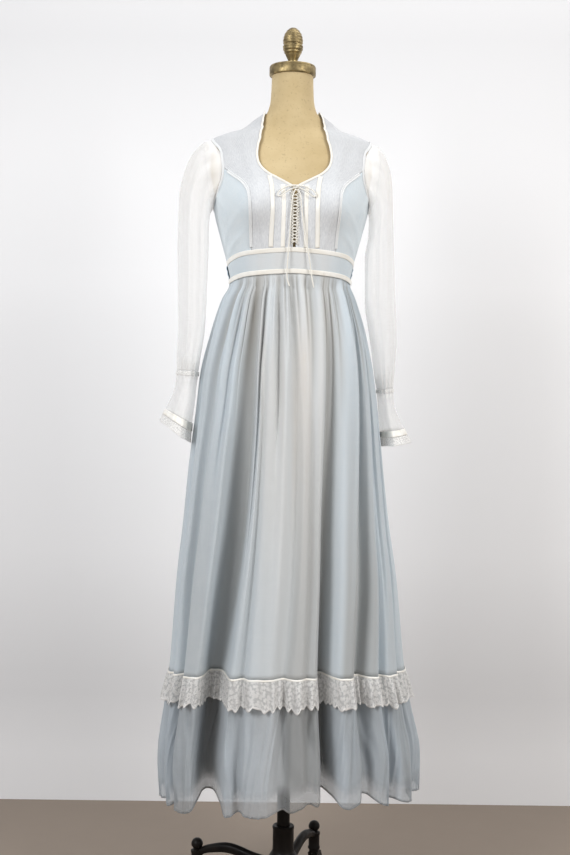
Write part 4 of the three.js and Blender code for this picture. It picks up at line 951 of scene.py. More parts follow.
for sideName, side in sides:
    strip(f"princess_trim_{sideName}", princessPath, 7.0, doubleLine, "whiteBand", side, shift=-0.5,
          lift=sewnOn + 0.5)
    strip(f"armhole_trim_{sideName}", armholePath, 5.5, plainProfile, "whiteBand", side, shift=3.2,
          lift=sewnOn + 0.3, closed=True)
    strip(f"inner_ribbon_{sideName}", frontRibbon(23, 25, 1496), 8.6, plainProfile, "satin", side,
          wave=rippled(0.12, 0.5))
    strip(f"outer_ribbon_{sideName}", frontRibbon(46.5, 52, 1513), 9.2, plainProfile, "satin", side,
          lift=sewnOn + 0.4, wave=rippled(0.14, 0.45))
    strip(f"cut_loop_tape_{sideName}", line([("x", 7.6, 1375), ("x", 9.6, 1486)], 40), 4.2, plainProfile,
          "whiteBand", side, replaced=(f"loop_tape_{sideName}",))
strip("neck_trim", neckRound, 4.6, plainProfile, "creamBand", lift=sewnOn + 0.3,
      wave=rippled(0.15, 0.9))
strip("waist_ribbon_upper", seamLine(topSeam, -89, 89, 220, 0), 9.4, plainProfile, "satin",
      lift=sewnOn + 0.3, wave=rippled(0.2, 0.4))
strip("waist_ribbon_lower", seamLine(bottomSeam, -89, 89, 220, 0), 9.4, plainProfile, "satin",
      lift=sewnOn + 3.6, wave=rippled(0.3, 0.55))
print("bodice trims are sewn on")


# A smooth curve through every point.
def roundedPath(points, steps):
    points = np.array(points, float)
    curve = np.concatenate([[2 * points[0] - points[1]], points, [2 * points[-1] - points[-2]]])
    made = []
    for i in range(1, len(curve) - 2):
        t = np.linspace(0, 1, steps, endpoint=False)[:, None]
        p0, p1, p2, p3 = curve[i - 1:i + 3]
        made.append(0.5 * ((2 * p1) + (p2 - p0) * t + (2 * p0 - 5 * p1 + 4 * p2 - p3) * t ** 2
                           + (3 * p1 - p0 - 3 * p2 + p3) * t ** 3))
    return np.concatenate(made + [points[-1:]])


def fullTurn(count):
    return np.linspace(0, 2 * math.pi, count, endpoint=False)


# Points, faces and places of a round cord along a path, closed at both ends.
def cordParts(path, radius, around=10):
    count = len(path)
    along = unit(np.gradient(path, axis=0))
    normal = np.cross(along[0], (0.3, 0.2, 0.9))
    turn = fullTurn(around)
    rings = []
    for i in range(count):
        normal = normal - along[i] * np.dot(normal, along[i])
        normal = normal / np.linalg.norm(normal)
        other = np.cross(along[i], normal)
        rings.append(path[i] + radius * (np.cos(turn)[:, None] * normal + np.sin(turn)[:, None] * other))
    points = np.concatenate([np.array(rings).reshape(-1, 3), path[:1], path[-1:]])
    index = np.arange(count * around).reshape(count, around)
    turned = np.roll(index, -1, 1)
    quads = np.stack([index[:-1], turned[:-1], turned[1:], index[1:]], -1).reshape(-1, 4)
    first, last = count * around, count * around + 1
    caps = [[first, turned[0][k], index[0][k]] for k in range(around)]
    caps += [[last, index[-1][k], turned[-1][k]] for k in range(around)]
    walked = walkedAlong(path) * mm
    places = np.zeros((len(points), 3))
    places[:-2, 0] = np.tile(np.linspace(0, 2 * math.pi * radius * mm, around), count)
    places[:-2, 1] = np.repeat(walked, around)
    places[-1, 1] = walked[-1]
    return points, quads.tolist() + caps, places


# One piece out of several cords, so that the bow and the lacing each stay one piece.
def cordPiece(name, cords):
    faces, start = [], 0
    for points, own, _ in cords:
        faces += [[start + k for k in face] for face in own]
        start += len(points)
    points, places = (np.concatenate([cord[part] for cord in cords]) for part in (0, 2))
    return makeMesh(name, points, faces, "cord", places=places)


tailPaths = {
    "right": [(0.0008, -0.1047, 1.4869), (-0.0014, -0.1059, 1.4825), (-0.005, -0.1075, 1.472),
              (-0.008, -0.1074, 1.44), (-0.010, -0.1036, 1.4), (-0.012, -0.1006, 1.366),
              (-0.014, -0.0996, 1.33), (-0.014, -0.0994, 1.308), (-0.009, -0.1006, 1.292)],
    "left": [(0.0052, -0.1047, 1.4869), (0.0074, -0.1059, 1.4825), (0.0105, -0.1073, 1.472),
             (0.014, -0.1076, 1.44), (0.020, -0.1032, 1.4), (0.028, -0.0994, 1.362), (0.0335, -0.098, 1.328),
             (0.037, -0.098, 1.306), (0.040, -0.0994, 1.29)],
}
laceDiameter = 2.8


def makeTail(sideName):
    path = roundedPath(np.array(tailPaths[sideName]) / mm, 9)
    made = cordPiece(f"lace_tail_{sideName}", [cordParts(path, laceDiameter / 2)])


makeTail("right")
makeTail("left")

knotAt = np.array([3.0, float(skin(0.0, 1492.0, trimLift + trimThick + 4.6)[1]), 1491.0])
# A bow loop: out and up from the knot, and off the form. The knot's own turns are around its middle.
bowRows = [(2.5, 1.7, 9.6), (18, -1, 10.6), (34, -9, 9.4), (41, -18, 8.6), (35, -21, 9.6), (17, -9, 10.8),
           (2.5, -2.4, 9.8)]
knotRows = [(-3.2, -1.2, 1.8), (-1.8, -3.6, 2.6), (1.8, -3.9, 0.4), (3.4, -1.2, -1.6), (2.0, 2.0, -2.4),
            (-2.0, 2.4, -0.6), (-3.4, -0.4, -1.8), (-1.2, -3.5, -2.2), (2.2, -3.2, 1.9), (3.0, 0.4, 1.0)]


def onFront(x, z, lift):
    return skin(angleOf(x, z), z, lift)


def makeBow():
    cords = []
    for _, side in sides:
        rows = np.array([onFront(knotAt[0] + side * out, knotAt[2] + up, lift) for out, up, lift in bowRows])
        cords.append(cordParts(roundedPath(rows, 10), laceDiameter / 2 * 0.97))
    cords.append(cordParts(roundedPath(knotAt + np.array(knotRows), 6), 1.45))
    cordPiece("lace_bow", cords)


makeBow()


lacingSet = {"crossings": 16, "cord": 1.1, "out": (7.0, 5.2), "heights": (1484, 1380), "lift": trimLift + 1.4}
loopSet = {"count": 20, "cord": 0.95, "out": (8.3, 5.7), "heights": (1485, 1378), "lift": trimLift + 0.9}


# The lacing's zigzag, and a row of small loops on each side of the opening.
def makeLacing():
    crossings = range(1, lacingSet["crossings"] + 1)
    cords = []
    for start in (1, -1):
        points = [knotAt - (0, 0, 4.5)]
        for i in crossings:
            down = i / lacingSet["crossings"]
            out = (start if i % 2 else -start) * mix(*lacingSet["out"], down)
            lift = lacingSet["lift"] + 1.1 * (start > 0)  # one cord over the other
            points.append(onFront(out, mix(*lacingSet["heights"], down), lift))
        cords.append(cordParts(roundedPath(points, 5), lacingSet["cord"], 8))
    turn = np.linspace(-2.4, 2.4, 13)
    for _, side in sides:
        for i in range(loopSet["count"]):
            down = (i + 0.5) / loopSet["count"]
            out = mix(*loopSet["out"], down) - 2.0 * np.cos(turn)
            ring = onFront(side * out, mix(*loopSet["heights"], down) + 2.3 * np.sin(turn), loopSet["lift"])
            cords.append(cordParts(ring, loopSet["cord"], 6))
    cordPiece("front_lacing", cords)


makeLacing()
print("lacing and bow are tied")

# The skirt: height, then reach to the wearer's right, left, front and back
skirtRings = [
    (1330, 126, 126, 90, 86), (1300, 127, 126, 91, 87), (1270, 142, 136, 103, 101),
    (1190, 167, 161, 127, 130), (1120, 184, 175, 139, 144), (1040, 193, 186, 147, 153),
    (920, 207, 199, 156, 161), (817, 216, 211, 163, 168), (690, 229, 230, 171, 176),
    (512, 241, 248, 181, 186), (430, 250, 261, 188, 193), (330, 262, 280, 196, 200),
    (240, 257, 280, 199, 203),
]
skirt = columnsOf(skirtRings, ("right", "left", "front", "back"))
skirtSquare, foldLean = 2.15, 0.45
# Folds: angle at the hem, half way up and at the waist, depth, half width
foldsFront = [(-77, -77, -78, 12, 4), (-64, -58, -52, 26, 4), (-35.5, -25, -30, 92, 9.5),
              (-22, -17, -20, 16, 3.5), (-3, 1.5, -3, 18, 4), (6, 10, 14, 12, 3), (13.5, 20, 31, 74, 4.5),
              (32, 47, 59, 40, 5), (47, 59, 68, 24, 3.5), (66, 71, 77, 16, 4.5)]
foldsBack = [(103, 102, 101, 24, 4.5), (119, 118, 116, 52, 5.5), (135, 134, 133, 26, 4.5),
             (150, 150, 149, 70, 6), (167, 167, 167, 30, 4.5), (184, 184, 184, 64, 5.5),
             (201, 202, 203, 24, 4.5), (217, 218, 220, 66, 6), (234, 236, 238, 28, 4.5),
             (251, 252, 254, 44, 5.5)]
# How folds and gathers grow on the way down, and how far the lace and the hem rise at an angle.
growth = columnsOf([(0, 0.02, 0.6), (0.05, 0.07, 4), (0.16, 0.22, 4.6), (0.3, 0.36, 3.2), (0.48, 0.58, 1.6),
                    (0.7, 0.8, 0.4), (1, 1, 0)], ("folds", "gathers"))
edgeLift = columnsOf([(-90, -14, -6), (-55, -4, -8), (-20, 4, 1), (5, 6, 18), (35, 2, 16), (62, -4, 5),
                      (90, -6, 6), (150, 2, -2), (220, -2, 4), (270, -14, -6)], ("lace", "hem"))
gathersPerHalf = 18
skirtSet = {"columns": 430, "rows": 84, "flounceRows": 36, "clear": 3.6, "wall": 0.9, "gatherDepth": 1.45,
            "creaseDepth": 1.5, "shade": (1.08, 0.55), "flounceShade": 0.82, "hemRaised": 0.3}
laceSet = {"columns": 760, "rows": 13, "wall": 0.5, "drop": (1.0, 52), "standsOff": (2.0, 11),
           "waves": (0.6, 7.5), "scallop": 17, "scallopDrop": 6, "intoFolds": 0.98}


# A point on the skirt's smooth body, the way out from it, and the way a fold presses in.
def skirtBase(angle, z):
    s, c = np.sin(np.radians(angle)), np.cos(np.radians(angle))
    half = np.where(s > 0, skirt["left"](z), skirt["right"](z))
    depth = np.where(c > 0, skirt["front"](z), skirt["back"](z))
    power = 2 / skirtSquare
    point = np.stack([half * signedPower(s, power), -depth * signedPower(c, power), z], -1)
    zero = np.zeros_like(half)
    out = unit(np.stack([point[..., 0] / half ** 2, point[..., 1] / depth ** 2, zero], -1))
    lean = foldLean * (1 - bell(angle + 38, 11)) + zero
    press = unit(np.stack([out[..., 0] * lean, out[..., 1], zero], -1))
    return point, out, press


# A fold is steeper on the side towards the centre front, where the next lobe hangs over it.
foldShape = {"steep": 0.52, "gentle": 0.98, "broad": 1.6}


def foldSides(folds, angle):
    for hem, _, _, depth, wide in folds:
        away = (angle - hem) * np.where(hem < 0, 1, -1) * np.where(abs(hem) > 90, -1, 1)
        reach = wide * np.where(away > 0, foldShape["steep"], foldShape["gentle"])
        yield signedPower((angle - hem) / reach, foldShape["broad"] if depth > 90 else 1), depth


def foldDepth(folds, angle):
    return sum(depth * bell(away, 1.0) for away, depth in foldSides(folds, angle))


# How deep in a fold a thread lies, from 0 to 1, for the painted shade in the cloth's colour; wider towards
# the waist.
def foldShade(folds, angle, t, strength):
    grown = growth["folds"](t)
    clear = 1 + 0 * angle * t
    for away, depth in foldSides(folds, angle):
        wide, power = (mix(1.05, 0.7, t), 0.3) if depth > 60 else (0.7, 0.6)
        clear = clear * (1 - grown ** power * strength * min(0.88, depth / 88) * bell(away, wide))
    return 1 - clear


# The greyer side of a lobe, turned from the window: hem angles, and how much on the skirt and on the flounce.
turnedAway = [(-5, 12, 0.5, 0.66), (20, 44, 0.58, 0.3), (-66, -46, 0.12, 0.22), (50, 62, 0.2, 0.36)]


def awayShade(angle, t, tier):
    total = 0 * angle * t
    for start, end, *share in turnedAway:
        total = total + share[tier] * inside(angle, start, start + 4, end - 3, end + 2)
    return total * smoothStep(t, 0.12, 0.9)


# Threads that hang evenly along the cloth: each one's angle at the hem, half way up and at the waist.
def threadsOf(folds, start, count):
    angle = start + np.linspace(0, 180, 1441)
    point, _, press = skirtBase(angle, np.full_like(angle, laceLine))
    point = point - press * foldDepth(folds, angle)[:, None]
    walked = walkedAlong(point)
    share = np.linspace(0.0008, 0.9992, count)
    hem = np.interp(share * walked[-1], walked, angle)
    rows = np.array([(start,) * 3] + [fold[:3] for fold in folds] + [(start + 180,) * 3], float)
    middle, waist = (np.interp(hem, rows[:, 0], rows[:, k]) for k in (1, 2))
    return {"share": share, "hem": hem, "middle": middle, "waist": waist, "length": walked[-1]}


# A thread's angle on its way down: a smooth curve through its waist, middle and hem.
def threadAngle(threads, t):
    s = t ** 0.87
    return (threads["waist"] * (1 - s) * (1 - 2 * s) + 4 * threads["middle"] * s * (1 - s)
            + threads["hem"] * s * (2 * s - 1))


# Where ripples fade: on the steep sides of folds and at the side seams.
def calmOf(folds, threads):
    slope = (foldDepth(folds, threads["hem"] + 1) - foldDepth(folds, threads["hem"] - 1)) / 8
    return 1 / np.sqrt(1 + slope * slope) * np.minimum(1, np.sin(math.pi * threads["share"]) * 6)


# Keeps the skirt clear of the form under it.
def offForm(point):
    z = np.maximum(point[..., 2], formBottom)
    depth = np.where(point[..., 1] < 0, form["front"](z), form["back"](z))
    square = form["square"](z)
    reach = (np.abs(point[..., 0] / form["half"](z)) ** square + np.abs(point[..., 1] / depth) ** square)
    reach = reach ** (1 / square)
    least = 1 + skirtSet["clear"] / np.hypot(point[..., 0], point[..., 1])
    grow = np.where((point[..., 2] > formBottom - 12) & (reach < least), least / reach, 1)
    return point * np.stack([grow, grow, np.ones_like(grow)], -1)


# Slow waves added up: how high each one is, how many there are along the cloth, and where it starts.
def slowWaves(share, heights, counts, starts):
    return sum(high * np.sin(2 * math.pi * (count * share + start))
               for high, count, start in zip(heights, counts, starts))


# Uneven gathers: the phase wanders and the depth differs from one gather to the next.
def gatherWave(share, count, seed):
    rng = np.random.default_rng(seed)
    wander = slowWaves(share, rng.uniform(0.25, 0.8, 4), (2.3, 4.1, 6.7, 9.2), rng.uniform(0, 1, 4))
    uneven = slowWaves(share, rng.uniform(0.4, 0.8, 3), (3.7, 7.9, 12.5), rng.uniform(0, 1, 3))
    return 0.75 + 0.35 * uneven, 2 * math.pi * count * share + wander


# Thin creases that run down the skirt: hem angle, start and end as shares of the way down, width, depth,
# drift.
softFront = [
    (-82, 0.02, 0.75, 1.6, 3.0, 1), (-68, 0.05, 0.95, 2.2, -3.5, -1), (-64, 0.1, 0.6, 1.3, 3.2, 2),
    (-53, 0.02, 0.62, 1.6, 5.0, 1), (-49, 0.3, 1.0, 2.4, -3.2, 0), (-29, 0.05, 0.9, 1.2, 4.2, 1),
    (-24, 0.2, 1.0, 1.5, -2.5, -1), (-14, 0.02, 0.55, 1.4, 4.6, 1), (-9, 0.15, 1.0, 2.2, -3.0, 0),
    (3, 0.02, 0.5, 1.3, 4.2, -1), (7, 0.3, 1.0, 2.0, 2.8, 0), (15.5, 0.02, 0.85, 0.8, 3.4, 0),
    (27, 0.1, 1.0, 1.4, -3.0, 1), (33, 0.05, 0.7, 1.5, 3.6, 0), (47, 0.1, 1.0, 1.6, -3.4, 1),
    (52, 0.2, 0.95, 1.2, 3.6, -1), (65, 0.1, 0.8, 1.4, 3.8, 0), (70, 0.3, 1.0, 1.2, -2.8, 0),
    (82, 0.1, 0.9, 1.4, 3.0, -1),
]
softBack = [(180 - hem, start, end, wide, depth, -drift)
            for hem, start, end, wide, depth, drift in softFront[::-1]]


# The creases together, each fading in and out on its way down.
def softFolds(rows, angle, t):
    total = np.zeros(np.broadcast(angle, t).shape)
    angle = angle + 0.9 * np.sin(5.2 * t + angle * 0.13) * smoothStep(t, 0.1, 0.5)
    for hem, start, end, wide, depth, drift in rows:
        fade = inside(t, start, start + 0.12, end - 0.25, end)
        centre = hem + drift * (1 - t) * 2
        total = total + skirtSet["creaseDepth"] * depth * bell(angle - centre, wide) * fade
    return total


halves = {
    "front": {"folds": foldsFront, "start": -90, "soft": softFront, "seed": 4},
    "back": {"folds": foldsBack, "start": 90, "soft": softBack, "seed": 9},
}


# The grids below give points and, with them, how much painted shade darkens the cloth's colour, from 0 to 1.
def skirtGrid(half, t, threads):
    folds = half["folds"]
    t = t[:, None]
    angle = threadAngle(threads, t)
    start = bottomSeam(fromFront(angle)) - seamGap * 3
    z = mix(start, laceLine + edgeLift["lace"](threads["hem"])[None], t)
    point, out, press = skirtBase(angle, z)
    calm = calmOf(folds, threads)[None]
    depth, phase = gatherWave(threads["share"], gathersPerHalf, half["seed"])
    sharp = np.abs(np.cos(phase / 2)) ** 1.6 * 2 - 1
    reach = 1 + 0.35 * np.sin(phase * 0.37 + 1.1) + 0.25 * np.sin(phase * 0.83)
    grown = growth["gathers"](np.clip(t / reach[None], 0, 1))
    wave = grown * skirtSet["gatherDepth"] * depth * (sharp - 0.35)
    small = 2.1 * np.cos(phase * 2.31 + 1.3) + 1.1 * np.cos(phase * 3.7 + 0.4)
    creases = softFolds(half["soft"], threads["hem"][None], t) * np.minimum(1, calm * 1.6)
    point = point - press * (growth["folds"](t) * foldDepth(folds, threads["hem"]))[..., None]
    point = point - press * creases[..., None]
    shade = foldShade(folds, threads["hem"][None], t, mix(*skirtSet["shade"], t))
    # Painted shade in the hollows of the gathers under the waist, and in the fine tucks.
    gathered = 0.6 * inside(t, 0.0, 0.02, 0.05, 0.42) * (0.5 - 0.5 * sharp) ** 3
    tuckShade = 0.7 * depth * inside(t, 0.0, 0.02, 0.03, 0.24) * (0.5 + 0.5 * np.cos(phase * 2.31 - 1.8)) ** 4
    shade = np.maximum(np.maximum(shade + gathered, tuckShade), awayShade(threads["hem"][None], t, 0))
    ripple = calm * (wave + inside(t, 0.0, 0.03, 0.08, 0.26) * small)
    return offForm(point + out * ripple[..., None]), np.clip(shade, 0, 1)


def flounceGrid(half, t, threads):
    folds = half["folds"]
    t = t[:, None]
    hem = threads["hem"][None]
    seam = laceLine + edgeLift["lace"](hem) - seamGap
    rng = np.random.default_rng(half["seed"] + 20)
    uneven = slowWaves(threads["share"], (3.6, 2.6, 2.0), (5.3, 9.1, 14.7), rng.uniform(0, 1, 3))
    edge = hemLine + edgeLift["hem"](hem) + uneven + skirtSet["hemRaised"] * foldDepth(folds, hem)
    point, _, press = skirtBase(hem + 0 * t, mix(seam, edge, t))
    calm = calmOf(folds, threads)[None]
    depth, phase = gatherWave(threads["share"], gathersPerHalf, half["seed"])
    slow = np.cos(phase / 2 + 0.7)
    waves = np.sin(math.pi * np.minimum(1, t * 1.6)) * 3 * depth * (np.cos(phase) - 0.3) + t * 6.5 * slow
    tucks = 2.2 * (1 - smoothStep(t, 0.15, 0.8)) * smoothStep(t, 0, 0.05) * np.cos(phase * 1.73 + 0.4)
    drift = hem + 3 * np.sin(t * 4 + hem * 0.21)
    wrinkles = 2.0 * np.sin(drift * 1.9 + 5 * t) * np.sin(drift * 0.47 + 2.6 * t) * smoothStep(t, 0.1, 0.4)
    ripple = calm * (waves + tucks) + wrinkles
    # Painted shade in the hollows of the flounce's gathers under its seam.
    gathered = 0.22 * (1 - smoothStep(t, 0.1, 0.6)) * np.maximum(0, -np.cos(phase))[None]
    shade = foldShade(folds, hem, 1 + 0 * t, skirtSet["flounceShade"]) + gathered
    shade = np.clip(np.maximum(shade, awayShade(hem, 1 + 0 * t, 1)), 0, 1)
    return point + press * (ripple - foldDepth(folds, hem) * mix(1, 1.06, t))[..., None], shade


# Each row of the lace: how far it drops below the seam, stands off, waves and hangs in scallops.
def laceGrid(half, threads, drops, stands, waves, scallops):
    folds = half["folds"]
    hem = threads["hem"][None]
    drops, stands, waves, scallops = (np.array(v, float)[:, None] for v in (drops, stands, waves, scallops))
    point, _, press = skirtBase(hem + 0 * drops, laceLine + edgeLift["lace"](hem) - drops)
    calm = calmOf(folds, threads)[None]
    depth, phase = gatherWave(threads["share"], gathersPerHalf, half["seed"] + 3)
    ripple = calm * waves * (depth * np.cos(phase * 2.6 + 1.2) + 0.35 * np.cos(phase * 1.1))
    point = point + press * (stands + ripple - foldDepth(folds, hem) * laceSet["intoFolds"])[..., None]
    scallop = np.abs(np.cos(math.pi * threads["length"] / laceSet["scallop"] * threads["share"]))[None]
    hangs = 2.4 * waves / 6 * np.cos(phase * 2.6 + 2.1) + 3.2 * waves / 6 * np.cos(phase * 0.9)
    point[..., 2] -= scallops * scallop + calm * hangs
    # How far into a flute's hollow: painted shade on the lace, and closer cover.
    flute = (0.5 - 0.5 * np.cos(phase * 2.6 + 0.3)) ** 2 * np.minimum(1, 0.35 + waves / 6)
    return point, flute


# A gathered tier: its shell.
def makeTier(kind, name, grid, shade, finish, extra=None):
    made = shell(f"{kind}_{name}", grid, wallUnder(grid, skirtSet["wall"]), finish, third=shade,
                 extra=extra)


def makeTiers():
    for name, half in halves.items():
        threads = threadsOf(half["folds"], half["start"], skirtSet["columns"])
        grid, shade = skirtGrid(half, np.linspace(0, 1, skirtSet["rows"]) ** 1.15, threads)
        makeTier("skirt", name, grid, shade, "skirtVoile")
        grid, shade = flounceGrid(half, np.linspace(0, 1, skirtSet["flounceRows"]), threads)
        fromHem = (grid[..., 2] - grid[-1:, :, 2]) * mm
        makeTier("flounce", name, grid, shade, "flounceVoile", {"fromHem": fromHem})
        threads = threadsOf(half["folds"], half["start"], laceSet["columns"])
        share = np.linspace(0, 1, laceSet["rows"])
        grid, flute = laceGrid(
            half, threads, mix(*laceSet["drop"], share), mix(*laceSet["standsOff"], share ** 0.8),
            mix(*laceSet["waves"], share ** 0.7), laceSet["scallopDrop"] * smoothStep(share, 0.45, 1.0))
        shell(f"lace_ruffle_{name}", grid, wallUnder(grid, laceSet["wall"]), "lace",
              third=share[:, None], extra={"flute": flute})
        grid, _ = laceGrid(half, threads, (-1.6, -0.4, 1.0, 2.2), (1.5, 2.2, 2.7, 2.9), (0.5,) * 4, (0,) * 4)
        shell(f"lace_ribbon_{name}", grid, wallUnder(grid, 0.4), "satin")


makeTiers()
print("skirt, flounce and lace are hung")

# Sleeves and cuffs: outer x, outer z, inner x, inner z, half depth
sleeveRows = {
    "right": [(182, 1592, 168, 1449, 57), (205, 1568, 169, 1437, 61), (223, 1526, 169.5, 1420, 63),
              (232, 1474, 170, 1395, 64), (233, 1400, 170, 1360, 64), (232, 1300, 172, 1290, 61),
              (230, 1210, 176, 1206, 56), (233, 1150, 185, 1146, 50), (232, 1122, 190, 1119, 40)],
    "left": [(182, 1591, 167, 1449, 56), (198, 1568, 167.5, 1437, 60), (209, 1530, 167.5, 1420, 62),
             (213, 1474, 165, 1395, 63), (216, 1385, 160, 1360, 63), (221, 1280, 160, 1275, 60),
             (225, 1195, 171, 1190, 54), (221, 1127, 180, 1124, 46), (218, 1090, 187, 1087, 35)],
}
cuffRows = {
    "right": [(232, 1121.4, 190, 1118.4, 40), (238, 1079, 194, 1072, 46), (260, 1022, 206, 983, 60)],
    "left": [(218, 1089.4, 187, 1086.4, 35), (222, 1050, 190, 1046, 42), (249, 984, 198, 976, 55)],
}
# Gathers are how many there are round the sleeve, and how deep.
sleeveSet = {"around": 144, "rows": 80, "cuffRows": 28, "wall": 0.7, "headGathers": (12, 2.0),
             "wristGathers": (14, 2.4), "cuffGathers": (14, 2.2)}


# The rows of a sleeve as smooth functions of the way down.
def denseRows(rows, count):
    rows = np.array(rows, float)
    at = np.linspace(0, 1, len(rows))
    down = np.linspace(0, 1, count)
    return down, np.stack([smoothColumn(at, rows[:, k])(down) for k in range(rows.shape[1])], -1)


# A sleeve's surface: rings through its rows, pushed in and out by a ripple.
def tubeGrid(rows, side, ripple):
    turn = fullTurn(sleeveSet["around"])[None]
    zero = np.zeros(len(rows))
    outer = np.stack([side * rows[:, 0], zero, rows[:, 1]], -1)
    inner = np.stack([side * rows[:, 2], zero, rows[:, 3]], -1)
    centre, reach = (outer + inner) / 2, (outer - inner) / 2
    deep = rows[:, 4][:, None]
    size = 1 + ripple(turn) / deep
    grid = centre[:, None] + reach[:, None] * (size * signedPower(np.cos(turn), 0.9))[..., None]
    grid[..., 1] -= size * deep * signedPower(np.sin(turn), 0.9)
    return grid


# The sleeve's first ring lies just outside the armhole, under its trim.
def armholeRing(side):
    around = sleeveSet["around"]
    middle = mix(armpit[2], shoulderEnd[2], 0.5)
    path = armholeLine(4)
    loop = np.stack([mix(path[:, 0] / perDegree, 90, -0.03), mix(path[:, 1], middle, -0.01)], -1)
    closed = np.concatenate([loop, loop[:1]])
    at = np.arange(len(closed))
    where = (0.5 - np.arange(around) / around) % 1 * len(loop)
    angle, z = np.interp(where, at, closed[:, 0]), np.interp(where, at, closed[:, 1])
    kernel = np.ones(7) / 7
    angle = np.convolve(np.concatenate([angle[-3:], angle, angle[:3]]), kernel, "valid")
    z = np.convolve(np.concatenate([z[-3:], z, z[:3]]), kernel, "valid")
    return skin(side * angle, z, ease + cloth + 0.4)


def sleeveRipple(down, seed):
    rng = np.random.default_rng(seed)
    phases = rng.uniform(0, 2 * math.pi, 8)

    def ripple(turn):
        d = down[:, None]
        head = np.maximum(0, 1 - d * 5)
        wrist = smoothStep(d, 0.72, 1.0)
        soft = (3.0 * np.sin(5 * turn + 1.1 + 0.5 * np.sin(3 * d + phases[0]))
                + 1.5 * np.sin(3 * turn + 2.3 + d) + 1.0 * np.sin(9 * turn + phases[1] + 1.6 * d)
                + 1.5 * np.sin(13 * turn + phases[2] - 1.2 * d) * (0.4 + 0.6 * np.sin(math.pi * d)))
        count, deep = sleeveSet["headGathers"]
        gathers = np.cos(count * turn + 0.5 * np.sin(3 * turn + phases[3])) * deep * head
        count, deep = sleeveSet["wristGathers"]
        wristGathers = np.cos(count * turn + 0.6 * np.sin(2 * turn + phases[4])) * deep * wrist
        cross = 0.9 * np.sin(26 * d + 2 * np.sin(turn + phases[5])) * np.cos(turn + phases[6])
        return (soft * np.sin(math.pi * np.minimum(1, d * 0.9 + 0.1)) + gathers + wristGathers
                + cross * bell(d - 0.45, 0.14))
    return ripple


def cuffRipple(down):
    def ripple(turn):
        d = down[:, None]
        count, deep = sleeveSet["cuffGathers"]
        gather = deep * (1 - smoothStep(d, 0, 0.55)) * np.cos(count * turn + 0.6 * np.sin(2 * turn))
        flare = smoothStep(d, 0.15, 1.0) * (4.5 * np.sin(4 * turn + 0.8) + 2.5 * np.sin(7 * turn)
                                            + 0.8 * np.sin(11 * turn + 1))
        return gather + flare
    return ripple


# A band round the cuff between two shares of the way down, lifted off it.
def cuffEdge(name, grid, start, end, lift, finish, flare):
    share = np.linspace(start, end, 7)
    at = share * (len(grid) - 1)
    i = np.minimum(at.astype(int), len(grid) - 2)
    base = grid[i] + (grid[i + 1] - grid[i]) * (at - i)[:, None, None]
    out = base - base.mean(1, keepdims=True)
    out[..., 2] = 0
    out = unit(out)
    across = ((share - start) / (end - start))[:, None, None]
    step = np.arange(base.shape[1])[None, :, None]
    rise = lift + (flare + 0.5 * np.sin(step * 0.9)) * across
    shell(name, base + out * (rise + 0.8), base + out * rise, finish, ring=True, third=across[..., 0])


# The cloth is closer where it is gathered: dense at the head, at the wrist and at the top of the cuff.
def makeSleeve(sideName, side, seed):
    down, rows = denseRows(sleeveRows[sideName], sleeveSet["rows"])
    sleeve = tubeGrid(rows, side, sleeveRipple(down, seed))
    start = armholeRing(side)
    head = [mix(start, sleeve[0], share) for share in (0, 0.25, 0.5, 0.75)]
    grid = np.concatenate([np.array(head), sleeve])
    row = np.linspace(0, 1, len(grid))
    dense = np.maximum(0.7 - 0.7 * smoothStep(row, 0.0, 0.06), 0.5 * smoothStep(row, 0.86, 1.0))
    shell(f"sleeve_{sideName}", grid, wallUnder(grid, -side * sleeveSet["wall"], ring=True), "sheerVoile",
          ring=True, third=dense[:, None])
    down, rows = denseRows(cuffRows[sideName], sleeveSet["cuffRows"])
    grid = tubeGrid(rows, side, cuffRipple(down))
    dense = 0.5 * (1 - smoothStep(down, 0.0, 0.3))
    shell(f"cuff_{sideName}", grid, wallUnder(grid, -side * sleeveSet["wall"], ring=True), "sheerVoile",
          ring=True, third=dense[:, None])
    cuffEdge(f"cuff_ribbon_{sideName}", grid, 0.85, 0.935, 0.9, "satin", 0.8)
    cuffEdge(f"cuff_lace_{sideName}", grid, 0.94, 1.06, 0.9, "cuffLace", 1.4)
    cuffEdge(f"wrist_lace_{sideName}", grid, 0.01, 0.11, 0.5, "cuffLace", 0.7)


for seed, (sideName, side) in enumerate(sides):
    makeSleeve(sideName, side, 31 + seed)
print("sleeves are set in")

sashSet = {"wide": 32, "thick": 2.2, "lift": ease + cloth + 1.3, "knotHalf": 17, "knotDeep": 8,
           "knotOut": 5.2, "tail": 430}


def sashMiddle(angle):
    return mix(bottomSeam(angle), topSeam(angle), 0.5)


def sashProfile(s):
    return sashSet["thick"] + 0.5 * math.cos(s * math.pi * 5) - 1.2 * (2 * abs(s)) ** 6


def sashPleats(row, share):
    return 0.35 * np.sin(share * 17 + row * 0.05)


